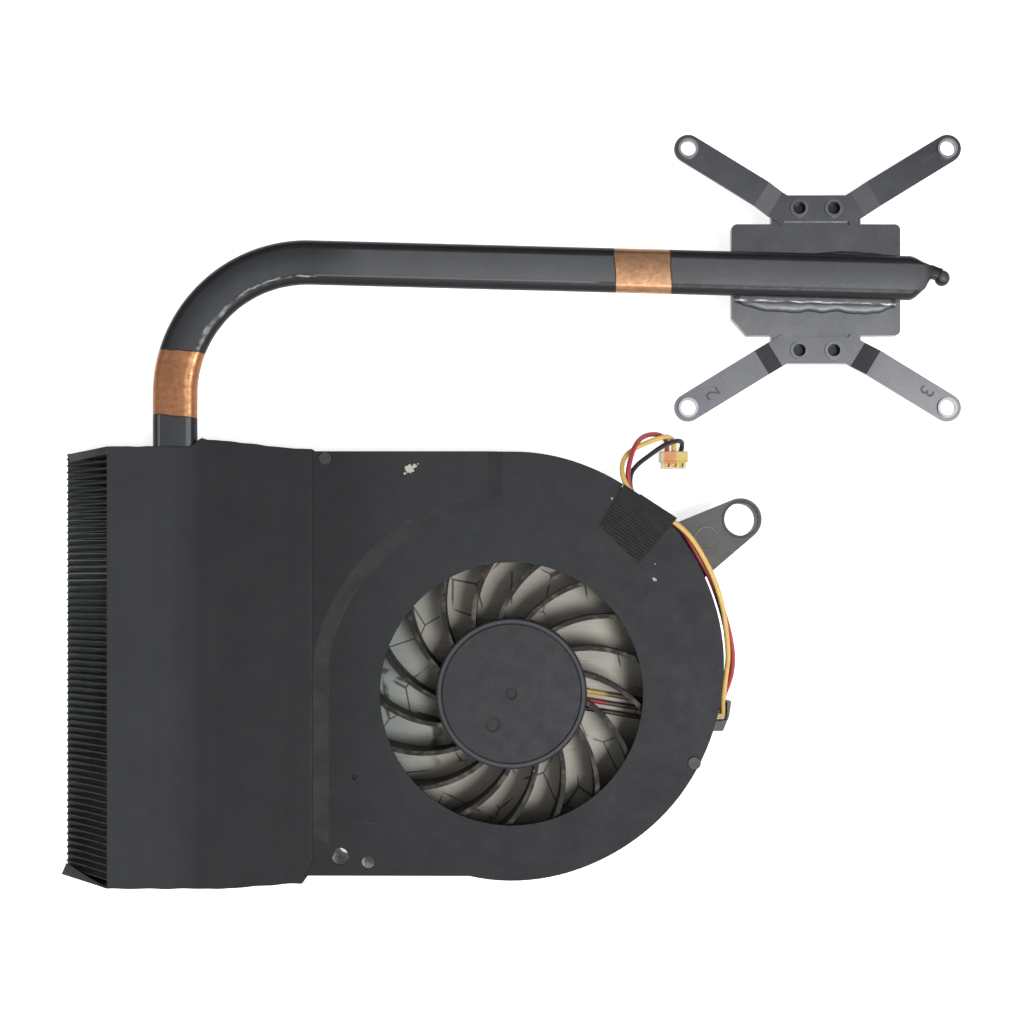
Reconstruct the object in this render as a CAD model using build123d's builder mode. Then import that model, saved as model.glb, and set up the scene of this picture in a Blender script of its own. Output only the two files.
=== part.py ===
from build123d import *

import math
import os

# A laptop's cooling assembly, lying with its fan intake up: the fan stands at the origin, the fins are on
# its left and the processor plate is at the upper right. The origin is on the fan's axis, on its underside.

# Fan heights
floor_thickness = 0.8
wall_height = 10.5
cover_thickness = 0.5
plateau_rise = 0.6
cover_z = floor_thickness + wall_height
cover_top = cover_z + cover_thickness
top_z = cover_top + plateau_rise

# Impeller
impeller_radius = 29.0
blade_count = 17
blade_thickness = 0.8
blade_sweep = 35.0
blade_start_angle = 36.3
blade_floor_gap = 1.6
blade_cover_gap = 0.7
hub_radius = 13.3
hub_wall = 0.8
hub_top_thickness = 1.0
hub_below_cover = 0.1
hub_floor_gap = 1.8
hub_rim_width = 0.9
hub_groove_width = 0.25
hub_groove_depth = 0.25
hub_disc_drop = 0.1
hub_round = 0.3
hub_boss_radius = 1.9
hub_boss_height = 1.3
hub_top = cover_z - hub_below_cover
hub_underside = hub_top - hub_top_thickness
hub_bottom = floor_thickness + hub_floor_gap
blade_bottom = floor_thickness + blade_floor_gap
blade_top = cover_z - blade_cover_gap

# Hub dimples left by the mould: place and radius
centre_dimple_radius = 0.95
side_dimple = (-3.4, -5.5)
side_dimple_radius = 1.2
dimple_depth = 0.25

# Motor inside the hub
yoke_thickness = 0.6
yoke_floor_gap = 2.2
magnet_thickness = 1.2
magnet_height = 5.6
air_gap = 0.3
shaft_radius = 0.75
shaft_grip = 1.7
bearing_clearance = 0.03
bearing_radius = 2.2
tube_wall = 0.7
tube_height = 7.6
tube_flange_radius = 4.0
tube_flange_thickness = 0.5
tube_bottom_thickness = 0.9
thrust_pad_thickness = 0.35
shaft_end_play = 0.02
bearing_recess = 0.2
core_height = 3.2
core_z = 4.4
core_ring_width = 1.7
pole_count = 4
pole_neck_width = 2.6
pole_shoe_depth = 1.6
pole_shoe_angle = 66.0
coil_thickness = 0.9
coil_end_gap = 0.4
board_thickness = 0.8
board_edge_inset = 1.1
board_bore_gap = 0.1
chip_size = 3.0
chip_height = 0.9
chip_angle = 45.0

yoke_radius = hub_radius - hub_wall
magnet_radius = yoke_radius - yoke_thickness
stator_radius = magnet_radius - magnet_thickness - air_gap
tube_radius = bearing_radius + tube_wall
yoke_top = hub_underside
yoke_bottom = floor_thickness + yoke_floor_gap
pad_z = tube_bottom_thickness
shaft_z = pad_z + thrust_pad_thickness + shaft_end_play
boss_bottom = hub_underside - hub_boss_height
shaft_top = boss_bottom + shaft_grip
board_radius = hub_radius - board_edge_inset
board_top = floor_thickness + board_thickness

# Fan housing. The rim's distance outside the blade tips grows round the fan, by these shares of its growth
rim_gap = 3.8
rim_growth = 9.75
rim_shares = [
    (-103, 0.0),
    (-75, 0.005),
    (-55, 0.05),
    (-35, 0.154),
    (-15, 0.292),
    (10, 0.518),
    (30, 0.692),
    (48, 0.835),
    (65, 0.928),
    (78, 0.984),
    (90, 1.0),
]
wall_thickness = 1.4
cover_overhang = 0.3
intake_lap = 5.9
tongue_gap = 2.9
duct_knee_gap = 6.5
duct_seam = 0.2
intake_radius = impeller_radius - intake_lap
tongue_y = -impeller_radius - tongue_gap
duct_top_y = impeller_radius + rim_gap + rim_growth
duct_knee_x = -impeller_radius - duct_knee_gap

# Raised part of the cover over the outlet, and the slope round it
ramp_width = 2.65
plateau_gap = 3.6
plateau_left_gap = 3.05
plateau_right_x = -1.5
plateau_corner_rise = 5.7
plateau_slant = 39.0
plateau_radius = impeller_radius + plateau_gap
plateau_left_x = -impeller_radius - plateau_left_gap
plateau_corner_y = tongue_y + plateau_corner_rise

# Screw hole and pin hole in the corner block, and the small dimple in the cover
screw_hole_out = 1.1
screw_hole_rise = 3.4
screw_hole_radius = 1.5
pin_hole_in = 3.8
pin_hole_rise = 2.3
pin_hole_radius = 1.1
cover_dimple_in = 1.4
cover_dimple_y = -14.6
cover_dimple_radius = 0.7
block_left_gap = 9.5
block_knee_in = 9.0
block_right_x = -8.0
block_knee_rise = 5.3
block_left_rise = 6.2
screw_hole = (-impeller_radius - screw_hole_out, tongue_y + screw_hole_rise)
pin_hole = (-impeller_radius + pin_hole_in, tongue_y + pin_hole_rise)
cover_dimple = (-impeller_radius + cover_dimple_in, cover_dimple_y)
block_left_x = -impeller_radius - block_left_gap
block_knee_x = -impeller_radius + block_knee_in

# Staked pins that hold the cover
stake_radius = 0.5
stake_head_radius = 1.2
stake_head_height = 0.35
stake_inset = 1.0
outlet_stake_gap = 3.6
rim_stake_angle = -20.7

# Mounting ear
ear_angle = 37.1
ear_reach = 10.97
ear_radius = 3.75
ear_hole_radius = 2.9
ear_bottom = 5.0
ear_thickness = 3.4
ear_root_angles = (31.3, 46.3)
ear_root_radius = 0.6
ear_mark_angle = 38.2
ear_mark_reach = 4.05
ear_mark_radius = 2.2
ear_mark_depth = 0.15

# Leads: wire size, the channel in the rim, the hook and the slot in the wall
wire_diameter = 0.9
channel_gap = 11.0
channel_angle = 56.8
channel_depth = 2.95
channel_left = 3.7
channel_right = 14.0
channel_outward = 6.0
hook_gap = 7.1
hook_height = 4.2
hook_thickness = 0.75
slot_y = -4.5
slot_width = 1.2
slot_height = 3.7
lead_floor_spacing = 1.6
lead_stack_spacing = 1.2
lead_stack_z = 1.5
lead_start_gap = 0.15
lead_exit_y = -2.3
lead_exit_offset = 2.2
lead_floor_lift = 0.05
lead_fan_in = 6.1
lead_slot_in = 2.1
lead_bends = [1.5, 1.5, 1.0]
channel_distance = impeller_radius + channel_gap
ledge_z = cover_top - channel_depth
hook_x = impeller_radius + hook_gap
lead_exit_x = hook_x + lead_exit_offset
hook_inner_x = lead_exit_x + 0.6 * wire_diameter

# Cloth tape over the leads: thickness, the fold's place, and the corners of the inner end
tape_thickness = 0.2
tape_fold = 1.43
tape_left = 2.6
tape_right = -7.4
tape_flap_left = 0.2
tape_inner_left = (-6.81, 3.25)
tape_inner_right = (-8.69, -6.13)
tape_flap_gap = 0.05

# Fins
fin_count = 63
fin_thickness = 0.25
fin_gap = 0.02
fin_back_gap = 25.7
fin_top_depth = 16.1
fin_depth = 26.6
fin_lip = 1.0
fin_flare_near = 1.9
fin_flare_far = 0.6
fin_back_x = -impeller_radius - fin_back_gap
fin_top_front_x = fin_back_x - fin_top_depth
fin_front_x = fin_back_x - fin_depth
fin_near_y = tongue_y - fin_flare_near
fin_far_y = duct_top_y + fin_flare_far
fin_pitch = (fin_far_y - fin_near_y) / fin_count

# Film over the fins and the outlet
film_thickness = 0.2
film_gap = 0.05
film_right_gap = 5.9
film_skirt_z = 2.0
film_pipe_gap = 0.3
film_right_x = -impeller_radius - film_right_gap
fin_slope = (fin_top_front_x - fin_front_x) / (top_z - fin_lip)
film_tip_x = fin_front_x + fin_slope * (film_skirt_z - fin_lip)

# Heat pipe
pipe_width = 7.8
pipe_thickness = 3.0
pipe_back_gap = 0.6
pipe_side_gap = 0.1
pipe_bend_radius = 23.2
pipe_run_angle = -1.5
pipe_start_inset = 0.6
pipe_end_overhang = 1.0
tail_length = 4.2
tail_lift = 1.0
tail_width = 2.3
tail_thickness = 1.9
tail_end_width = 1.9
tail_end_thickness = 1.6
tail_ball_radius = 1.2
tail_ball_offset = 5.95
tail_ball_lift = 0.7
pipe_x = fin_back_x - pipe_back_gap - pipe_width / 2
fin_step_x = pipe_x - pipe_width / 2 - pipe_side_gap
fin_step_z = top_z - pipe_thickness

# Processor plate
cpu_x = 53.9
cpu_y = 73.15
plate_length = 29.9
plate_width = 19.7
plate_thickness = 1.6
plate_corner = 1.0
plate_chamfer = (2.7, 3.0)
plate_tab_width = 15.8
plate_tab_reach = 14.8
pipe_offset_y = 0.4
plate_top = top_z - pipe_thickness
plate_bottom = plate_top - plate_thickness

# Spring brackets
screw_spacing = 45.6
screw_radius = 1.35
collar_radius = 1.75
collar_height = 0.45
bracket_thickness = 0.5
arm_width = 4.9
arm_length = 18.2
arm_angle = 31.5
arm_rise = 1.0
arm_ramp = 3.0
arm_root = 3.0
bar_length = 14.4
bar_width = 4.6
bar_corner = 1.8
bar_offset = 12.55

# Rivets and solder
rivet_spacing = 6.1
rivet_radius = 1.3
rivet_head_radius = 1.6
rivet_head_height = 0.25
rivet_bore_radius = 1.1
rivet_bore_depth = 1.5
bead_height = 0.8
bead_width = 2.6
bead_tuck = 1.2

# Connector, lying on the table beside the fan
plug_x = 29.6
plug_rear_y = 43.4
plug_width = 5.1
plug_rear_length = 1.9
plug_nose_length = 1.2
plug_nose_width = 4.3
plug_height = 2.6
plug_nose_height = 2.1
plug_pitch = 1.25
plug_axis_z = 1.3
plug_bore = 1.0
plug_slot_width = 0.8
plug_slot_depth = 0.7
plug_slot_setback = 0.25
plug_edge = 0.2
terminal_width = 0.7
terminal_height = 0.6
terminal_gap = 0.1


def polar(radius, angle):
    return (radius * math.cos(math.radians(angle)), radius * math.sin(math.radians(angle)))


def rim_radius(angle):
    """The cover's rim about the fan's axis, between the given shares."""
    for (angle_a, share_a), (angle_b, share_b) in zip(rim_shares, rim_shares[1:]):
        if angle_a <= angle <= angle_b:
            share = share_a + (share_b - share_a) * (angle - angle_a) / (angle_b - angle_a)
            return impeller_radius + rim_gap + rim_growth * share


def fan_outline(inset, left_x):
    """The fan's plan, moved in by inset, with its square outlet end at left_x."""
    rim = [polar(rim_radius(angle) - inset, angle) for angle, share in rim_shares]
    Spline(*rim)
    Polyline(
        rim[-1],
        (duct_knee_x, duct_top_y - inset),
        (left_x, fin_far_y - inset),
        (left_x, fin_near_y + inset),
        (duct_knee_x, tongue_y + inset),
        rim[0],
    )


def plateau_outline(ramp):
    """The raised part of the cover: ramp is how far its edge is drawn back from the slope's foot."""
    radius = plateau_radius + ramp
    right_x = plateau_right_x - ramp
    left_x = plateau_left_x - ramp
    arc_start = (right_x, math.sqrt(radius**2 - right_x**2))
    arc_end = (left_x, math.sqrt(radius**2 - left_x**2))
    middle = polar(radius, 135)
    slant = math.radians(plateau_slant)
    corner = (left_x, plateau_corner_y + ramp * (1 - math.sin(slant)) / math.cos(slant))
    foot_x = fin_back_x - ramp
    foot = (foot_x, corner[1] - (corner[0] - foot_x) * math.tan(slant))
    top_y = duct_top_y + ramp_width
    Line((right_x, top_y), arc_start)
    ThreePointArc(arc_start, middle, arc_end)
    Polyline(arc_end, corner, foot, (foot[0], top_y), (right_x, top_y))


def bend_radii(points):
    """The largest even radius at each corner of a lead's route."""
    radii = []
    for before, corner, after in zip(points, points[1:], points[2:]):
        run_in = Vector(corner) - Vector(before)
        run_out = Vector(after) - Vector(corner)
        turn = math.radians(run_in.get_angle(run_out))
        radii.append(0.45 * min(run_in.length, run_out.length) / math.tan(turn / 2))
    return radii


os.makedirs("parts", exist_ok=True)
channel_plane = Plane(origin=(0, 0, ledge_z), x_dir=(*polar(1, channel_angle), 0), z_dir=(0, 0, 1))
outlet_stake = (-impeller_radius - outlet_stake_gap, duct_top_y - stake_inset - cover_overhang)
rim_stake = polar(rim_radius(rim_stake_angle) - stake_inset, rim_stake_angle)
ear_centre = polar(rim_radius(ear_angle) + ear_reach, ear_angle)
ear_mark = polar(rim_radius(ear_mark_angle) + ear_mark_reach, ear_mark_angle)
fan_left_x = fin_back_x + duct_seam

# Metal floor of the fan
with BuildPart() as fan_floor:
    with BuildSketch() as floor_plan:
        with BuildLine():
            fan_outline(cover_overhang, fan_left_x)
        make_face()
        Circle(tube_radius, mode=Mode.SUBTRACT)
        with Locations(screw_hole):
            Circle(screw_hole_radius, mode=Mode.SUBTRACT)
        with Locations(pin_hole):
            Circle(pin_hole_radius, mode=Mode.SUBTRACT)
    extrude(amount=floor_thickness)
fan_floor.part.label = "fan_floor"
export_step(fan_floor.part, "parts/fan_floor.step")

# Plan of the moulded wall: a ring open at the outlet, and the thicker stretch behind the wire channel
with BuildSketch() as wall_plan:
    with BuildLine():
        fan_outline(cover_overhang, fan_left_x)
    make_face()
    with BuildLine():
        fan_outline(cover_overhang + wall_thickness, fin_top_front_x)
    make_face(mode=Mode.SUBTRACT)
with BuildSketch() as channel_back:
    with BuildLine():
        fan_outline(cover_overhang, fan_left_x)
    make_face()
    with Locations(Location((0, 0, 0), (0, 0, channel_angle))):
        with Locations((channel_distance - wall_thickness, channel_left + wall_thickness)):
            Rectangle(
                channel_outward,
                channel_left + channel_right,
                align=(Align.MIN, Align.MAX),
                mode=Mode.INTERSECT,
            )

# Moulded frame: volute wall, corner block, ear, wire hook and staked pins
with BuildPart() as fan_frame:
    with BuildSketch(Plane.XY.offset(floor_thickness)):
        add(wall_plan.sketch)
        add(channel_back.sketch)
        with BuildLine():
            Polyline(
                (block_left_x, tongue_y + cover_overhang),
                (block_right_x, tongue_y + cover_overhang),
                (block_knee_x, tongue_y + block_knee_rise),
                (block_left_x, tongue_y + block_left_rise),
                close=True,
            )
        make_face()
    extrude(amount=wall_height)
    with BuildSketch(Plane.XY.offset(cover_z)):
        with BuildLine():
            plateau_outline(ramp_width)
        make_face()
        add(wall_plan.sketch, mode=Mode.INTERSECT)
    extrude(amount=plateau_rise)
    with BuildSketch(channel_plane):
        with Locations((channel_distance, channel_left)):
            Rectangle(channel_outward, channel_left + channel_right, align=(Align.MIN, Align.MAX))
    extrude(amount=channel_depth, mode=Mode.SUBTRACT)
    with BuildSketch(Plane.XY.offset(ear_bottom)):
        with BuildLine():
            CenterArc(ear_centre, ear_radius, 0, 360)
            for angle in ear_root_angles:
                root = polar(rim_radius(angle) - cover_overhang - wall_thickness / 2, angle)
                CenterArc(root, ear_root_radius, 0, 360)
        make_hull()
        with Locations(ear_centre):
            Circle(ear_hole_radius, mode=Mode.SUBTRACT)
    extrude(amount=ear_thickness)
    with BuildSketch(Plane.XY.offset(ear_bottom + ear_thickness)):
        with Locations(ear_mark):
            Circle(ear_mark_radius)
    extrude(amount=-ear_mark_depth, mode=Mode.SUBTRACT)
    with BuildSketch(Plane.XY.offset(floor_thickness)):
        with BuildLine():
            Polyline(
                (hook_x - wall_thickness, slot_y - slot_width - 2 * hook_thickness),
                (hook_inner_x - hook_thickness, slot_y - slot_width - 2 * hook_thickness),
                (hook_inner_x + hook_thickness / 2, slot_y),
                (hook_inner_x + hook_thickness, lead_exit_y + wire_diameter / 2),
                (hook_inner_x, lead_exit_y + wire_diameter / 2),
                (hook_inner_x, slot_y - hook_thickness),
                (hook_x - wall_thickness, slot_y - slot_width),
                close=True,
            )
        make_face()
    extrude(amount=hook_height)
    with BuildSketch(Plane.XY.offset(floor_thickness)):
        with Locations((hook_x - wall_thickness, slot_y)):
            Rectangle(3 * wall_thickness, slot_width)
    extrude(amount=slot_height, mode=Mode.SUBTRACT)
    with BuildSketch(Plane.XY.offset(floor_thickness)):
        with Locations(screw_hole):
            Circle(screw_hole_radius)
        with Locations(pin_hole):
            Circle(pin_hole_radius)
    extrude(amount=wall_height, mode=Mode.SUBTRACT)
    for stake, base_z in ((outlet_stake, cover_z + plateau_rise), (rim_stake, cover_z)):
        with BuildSketch(Plane.XY.offset(base_z)):
            with Locations(stake):
                Circle(stake_radius)
        extrude(amount=cover_thickness)
        with BuildSketch(Plane.XY.offset(base_z + cover_thickness)):
            with Locations(stake):
                Circle(stake_head_radius)
        extrude(amount=stake_head_height, taper=20)
fan_frame.part.label = "fan_frame"
export_step(fan_frame.part, "parts/fan_frame.step")

# Sheet cover with the raised outlet, the intake and the small holes
with BuildPart() as fan_cover:
    with BuildSketch(Plane.XY.offset(cover_z)) as cover_plan:
        with BuildLine():
            fan_outline(0, fan_left_x)
        make_face()
    extrude(amount=cover_thickness)
    with BuildSketch(Plane.XY.offset(cover_top)):
        with BuildLine():
            plateau_outline(0)
        make_face()
    with BuildSketch(Plane.XY.offset(top_z)):
        with BuildLine():
            plateau_outline(ramp_width)
        make_face()
    loft(ruled=True)
    with BuildSketch(Plane.XY.offset(cover_z)):
        with BuildLine():
            plateau_outline(0)
        make_face()
    with BuildSketch(Plane.XY.offset(cover_z + plateau_rise)):
        with BuildLine():
            plateau_outline(ramp_width)
        make_face()
    loft(ruled=True, mode=Mode.SUBTRACT)
    with BuildSketch(Plane.XY.offset(cover_z)):
        with BuildLine():
            fan_outline(0, fan_left_x)
        make_face()
    extrude(amount=cover_thickness + plateau_rise, mode=Mode.INTERSECT)
    with BuildSketch(Plane.XY.offset(cover_z)):
        Circle(intake_radius)
        with Locations(screw_hole):
            Circle(screw_hole_radius)
        with Locations(pin_hole):
            Circle(pin_hole_radius)
        with Locations(outlet_stake, rim_stake):
            Circle(stake_radius)
    extrude(amount=cover_thickness + plateau_rise, mode=Mode.SUBTRACT)
    with BuildSketch(channel_plane):
        with Locations((channel_distance, channel_left)):
            Rectangle(channel_outward, channel_left + channel_right, align=(Align.MIN, Align.MAX))
    extrude(amount=channel_depth, mode=Mode.SUBTRACT)
    with Locations((*cover_dimple, cover_top)):
        Cone(cover_dimple_radius / 3, cover_dimple_radius, cover_thickness, mode=Mode.SUBTRACT)
fan_cover.part.label = "fan_cover"
export_step(fan_cover.part, "parts/fan_cover.step")

# Impeller: moulded hub and backward curved blades
with BuildSketch() as blade_plan:
    with BuildLine():
        ThreePointArc(
            polar(hub_radius - hub_wall / 2, blade_start_angle),
            polar((hub_radius + impeller_radius) / 2, blade_start_angle - blade_sweep / 2),
            polar(impeller_radius - blade_thickness / 2, blade_start_angle - blade_sweep),
        )
    trace(line_width=blade_thickness)
with BuildPart() as impeller:
    with BuildSketch(Plane.XZ):
        groove_outer = hub_radius - hub_rim_width
        groove_inner = groove_outer - hub_groove_width
        disc_top = hub_top - hub_disc_drop
        with BuildLine():
            Polyline(
                (0, disc_top),
                (groove_inner, disc_top),
                (groove_inner, disc_top - hub_groove_depth),
                (groove_outer, disc_top - hub_groove_depth),
                (groove_outer, hub_top),
                (hub_radius - hub_round, hub_top),
                (hub_radius, hub_top - hub_round),
                (hub_radius, hub_bottom),
                (yoke_radius, hub_bottom),
                (yoke_radius, hub_underside),
                (hub_boss_radius, hub_underside),
                (hub_boss_radius, boss_bottom),
                (shaft_radius, boss_bottom),
                (shaft_radius, shaft_top),
                (0, shaft_top),
                close=True,
            )
        make_face()
    revolve(axis=Axis.Z)
    with BuildSketch(Plane.XY.offset(blade_bottom)):
        with PolarLocations(0, blade_count):
            add(blade_plan.sketch)
    extrude(amount=blade_top - blade_bottom)
    with BuildSketch(Plane.XY.offset(disc_top)):
        Circle(centre_dimple_radius)
        with Locations(side_dimple):
            Circle(side_dimple_radius)
    extrude(amount=-dimple_depth, mode=Mode.SUBTRACT)
impeller.part.label = "impeller"
export_step(impeller.part, "parts/impeller.step")

# Steel cup inside the hub
with BuildPart() as rotor_yoke:
    with BuildSketch(Plane.XZ):
        with BuildLine():
            Polyline(
                (hub_boss_radius, yoke_top),
                (yoke_radius, yoke_top),
                (yoke_radius, yoke_bottom),
                (magnet_radius, yoke_bottom),
                (magnet_radius, yoke_top - yoke_thickness),
                (hub_boss_radius, yoke_top - yoke_thickness),
                close=True,
            )
        make_face()
    revolve(axis=Axis.Z)
rotor_yoke.part.label = "rotor_yoke"
export_step(rotor_yoke.part, "parts/rotor_yoke.step")

# Ring magnet inside the cup
with BuildPart() as magnet_ring:
    with BuildSketch(Plane.XY.offset(yoke_bottom)):
        Circle(magnet_radius)
        Circle(magnet_radius - magnet_thickness, mode=Mode.SUBTRACT)
    extrude(amount=magnet_height)
magnet_ring.part.label = "magnet_ring"
export_step(magnet_ring.part, "parts/magnet_ring.step")

# Shaft, held in the hub's boss
with BuildPart() as rotor_shaft:
    with BuildSketch(Plane.XY.offset(shaft_z)):
        Circle(shaft_radius)
    extrude(amount=shaft_top - shaft_z)
rotor_shaft.part.label = "rotor_shaft"
export_step(rotor_shaft.part, "parts/rotor_shaft.step")

# Bearing tube: a closed cup with a flange, pressed into the floor
with BuildPart() as bearing_tube:
    with BuildSketch(Plane.XZ):
        flange_top = floor_thickness + tube_flange_thickness
        with BuildLine():
            Polyline(
                (0, 0),
                (tube_radius, 0),
                (tube_radius, floor_thickness),
                (tube_flange_radius, floor_thickness),
                (tube_flange_radius, flange_top),
                (tube_radius, flange_top),
                (tube_radius, floor_thickness + tube_height),
                (bearing_radius, floor_thickness + tube_height),
                (bearing_radius, pad_z),
                (0, pad_z),
                close=True,
            )
        make_face()
    revolve(axis=Axis.Z)
bearing_tube.part.label = "bearing_tube"
export_step(bearing_tube.part, "parts/bearing_tube.step")

# Thrust pad under the shaft's end
with BuildPart() as thrust_pad:
    with BuildSketch(Plane.XY.offset(pad_z)):
        Circle(bearing_radius)
    extrude(amount=thrust_pad_thickness)
thrust_pad.part.label = "thrust_pad"
export_step(thrust_pad.part, "parts/thrust_pad.step")

# Sintered sleeve that the shaft turns in
with BuildPart() as sleeve_bearing:
    with BuildSketch(Plane.XY.offset(pad_z + thrust_pad_thickness)):
        Circle(bearing_radius)
        Circle(shaft_radius + bearing_clearance, mode=Mode.SUBTRACT)
    extrude(amount=floor_thickness + tube_height - bearing_recess - pad_z - thrust_pad_thickness)
sleeve_bearing.part.label = "sleeve_bearing"
export_step(sleeve_bearing.part, "parts/sleeve_bearing.step")

# Laminated core with four poles
core_ring_radius = tube_radius + core_ring_width
shoe_radius = stator_radius - pole_shoe_depth / 2
with BuildPart() as stator_core:
    with BuildSketch(Plane.XY.offset(core_z)):
        Circle(core_ring_radius)
        with PolarLocations(0, pole_count):
            with Locations((tube_radius, 0)):
                Rectangle(shoe_radius - tube_radius, pole_neck_width, align=(Align.MIN, Align.CENTER))
            SlotArc(
                CenterArc((0, 0), shoe_radius, -pole_shoe_angle / 2, pole_shoe_angle, mode=Mode.PRIVATE),
                pole_shoe_depth,
            )
        Circle(tube_radius, mode=Mode.SUBTRACT)
    extrude(amount=core_height)
stator_core.part.label = "stator_core"
export_step(stator_core.part, "parts/stator_core.step")

# A winding round each pole's neck
coil_inner = core_ring_radius + coil_end_gap
coil_outer = stator_radius - pole_shoe_depth - coil_end_gap
coil_length = coil_outer - coil_inner
with BuildPart() as stator_coils:
    with PolarLocations(0, pole_count):
        with Locations(((coil_inner + coil_outer) / 2, 0, core_z + core_height / 2)):
            Box(coil_length, pole_neck_width + 2 * coil_thickness, core_height + 2 * coil_thickness)
            Box(coil_length, pole_neck_width, core_height, mode=Mode.SUBTRACT)
stator_coils.part.label = "stator_coils"
export_step(stator_coils.part, "parts/stator_coils.step")

# Ring board under the motor, and its driver chip
with BuildPart() as motor_board:
    with BuildSketch(Plane.XY.offset(floor_thickness)):
        Circle(board_radius)
        Circle(tube_flange_radius + board_bore_gap, mode=Mode.SUBTRACT)
    extrude(amount=board_thickness)
motor_board.part.label = "motor_board"
export_step(motor_board.part, "parts/motor_board.step")

with BuildPart() as driver_chip:
    chip_place = polar((tube_flange_radius + board_radius) / 2, chip_angle)
    with Locations(Location((*chip_place, board_top), (0, 0, chip_angle))):
        Box(chip_size, chip_size, chip_height, align=(Align.CENTER, Align.CENTER, Align.MIN))
driver_chip.part.label = "driver_chip"
export_step(driver_chip.part, "parts/driver_chip.step")

# Held stretch of the three leads: along the floor, through the wall and round behind the hook
lead_floor_z = floor_thickness + wire_diameter / 2 + lead_floor_lift
lead_start_x = board_radius + lead_start_gap
with BuildPart() as motor_leads:
    for step in (-1, 0, 1):
        stack_z = lead_stack_z + lead_stack_spacing * (step + 1)
        points = [
            (lead_start_x, lead_floor_spacing * (step - 1), lead_floor_z),
            (hook_x - lead_fan_in, slot_y + lead_floor_spacing * step, lead_floor_z),
            (hook_x - lead_slot_in, slot_y, stack_z),
            (lead_exit_x, slot_y, stack_z),
            (lead_exit_x, lead_exit_y, stack_z),
        ]
        with BuildLine():
            path = FilletPolyline(*points, radius=lead_bends)
        with BuildSketch(Plane(origin=points[0], z_dir=path % 0)):
            Circle(wire_diameter / 2)
        sweep()
motor_leads.part.label = "motor_leads"
export_step(motor_leads.part, "parts/motor_leads.step")

# Free stretch of each lead: up the outside of the wall, along the channel and down to the connector
wire_routes = {
    "wire_black": [
        (38.3, -2.3, 1.5),
        (38.35, -1.2, 1.6),
        (39.0, 1.0, 2.5),
        (39.4, 3.6, 3.9),
        (39.3, 6.8, 5.5),
        (38.4, 10.9, 7.1),
        (37.1, 15.6, 8.3),
        (35.2, 20.5, 9.05),
        (32.6, 25.4, 9.38),
        (30.4, 29.0, 9.39),
        (25.7, 31.95, 9.37),
        (21.2, 34.9, 9.36),
        (20.9, 38.6, 9.0),
        (22.4, 41.0, 7.9),
        (24.6, 42.9, 6.6),
        (26.5, 44.6, 5.4),
        (28.6, 45.8, 4.5),
        (30.3, 46.3, 3.5),
        (31.0, 45.3, 2.2),
        (30.85, 43.4, 1.3),
    ],
    "wire_red": [
        (38.3, -2.3, 2.7),
        (38.4, -1.2, 2.85),
        (39.2, 1.0, 3.9),
        (39.7, 3.6, 5.3),
        (39.65, 6.8, 6.8),
        (38.7, 10.9, 8.3),
        (37.2, 15.6, 9.4),
        (35.1, 20.5, 10.05),
        (32.3, 25.2, 10.35),
        (30.3, 28.9, 10.36),
        (25.7, 31.95, 10.34),
        (21.1, 35.0, 10.33),
        (20.4, 38.3, 10.45),
        (20.9, 41.1, 10.1),
        (21.8, 43.8, 9.0),
        (23.4, 46.0, 6.6),
        (25.7, 46.9, 4.6),
        (27.6, 46.7, 3.0),
        (28.4, 45.4, 1.8),
        (28.35, 43.4, 1.3),
    ],
    "wire_yellow": [
        (38.3, -2.3, 3.9),
        (38.3, -1.2, 4.0),
        (38.35, 1.0, 5.1),
        (38.45, 3.6, 6.7),
        (38.6, 6.6, 8.2),
        (38.0, 10.9, 9.6),
        (37.2, 15.6, 10.6),
        (35.55, 20.6, 11.1),
        (32.9, 25.6, 11.33),
        (30.4, 29.0, 11.32),
        (25.7, 31.95, 11.31),
        (21.0, 35.1, 11.3),
        (19.4, 38.4, 10.9),
        (19.6, 41.0, 9.4),
        (20.9, 43.2, 7.8),
        (23.6, 44.7, 6.9),
        (26.2, 46.0, 5.8),
        (28.3, 46.8, 4.3),
        (29.6, 45.9, 2.4),
        (29.6, 43.4, 1.3),
    ],
}
for wire_name, route in wire_routes.items():
    radii = bend_radii(route)
    with BuildPart() as wire:
        with BuildLine():
            path = FilletPolyline(*route, radius=radii)
        with BuildSketch(Plane(origin=route[0], z_dir=path % 0)):
            Circle(wire_diameter / 2)
        sweep()
    wire.part.label = wire_name
    export_step(wire.part, f"parts/{wire_name}.step")
    section = math.pi * wire_diameter**2 / 4
    print(wire_name, "length", round(path.length, 2), "radii", [round(r, 2) for r in radii])
    print(wire_name, "volume over section times length", wire.part.volume / section / path.length)

# Cloth tape: a flat end on the cover and a flap folded down over the leads
with BuildPart() as wire_tape:
    fold_x = channel_distance + tape_fold
    with BuildSketch(channel_plane.offset(channel_depth)):
        with BuildLine():
            Polyline(
                (channel_distance + tape_inner_left[0], tape_inner_left[1]),
                (fold_x + tape_thickness, tape_left),
                (fold_x + tape_thickness, tape_right),
                (channel_distance + tape_inner_right[0], tape_inner_right[1]),
                close=True,
            )
        make_face()
    extrude(amount=tape_thickness)
    with BuildSketch(channel_plane.offset(tape_flap_gap)):
        with Locations((fold_x, tape_flap_left)):
            Rectangle(tape_thickness, tape_flap_left - tape_right, align=(Align.MIN, Align.MAX))
    extrude(amount=channel_depth - tape_flap_gap)
wire_tape.part.label = "wire_tape"
export_step(wire_tape.part, "parts/wire_tape.step")

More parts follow.
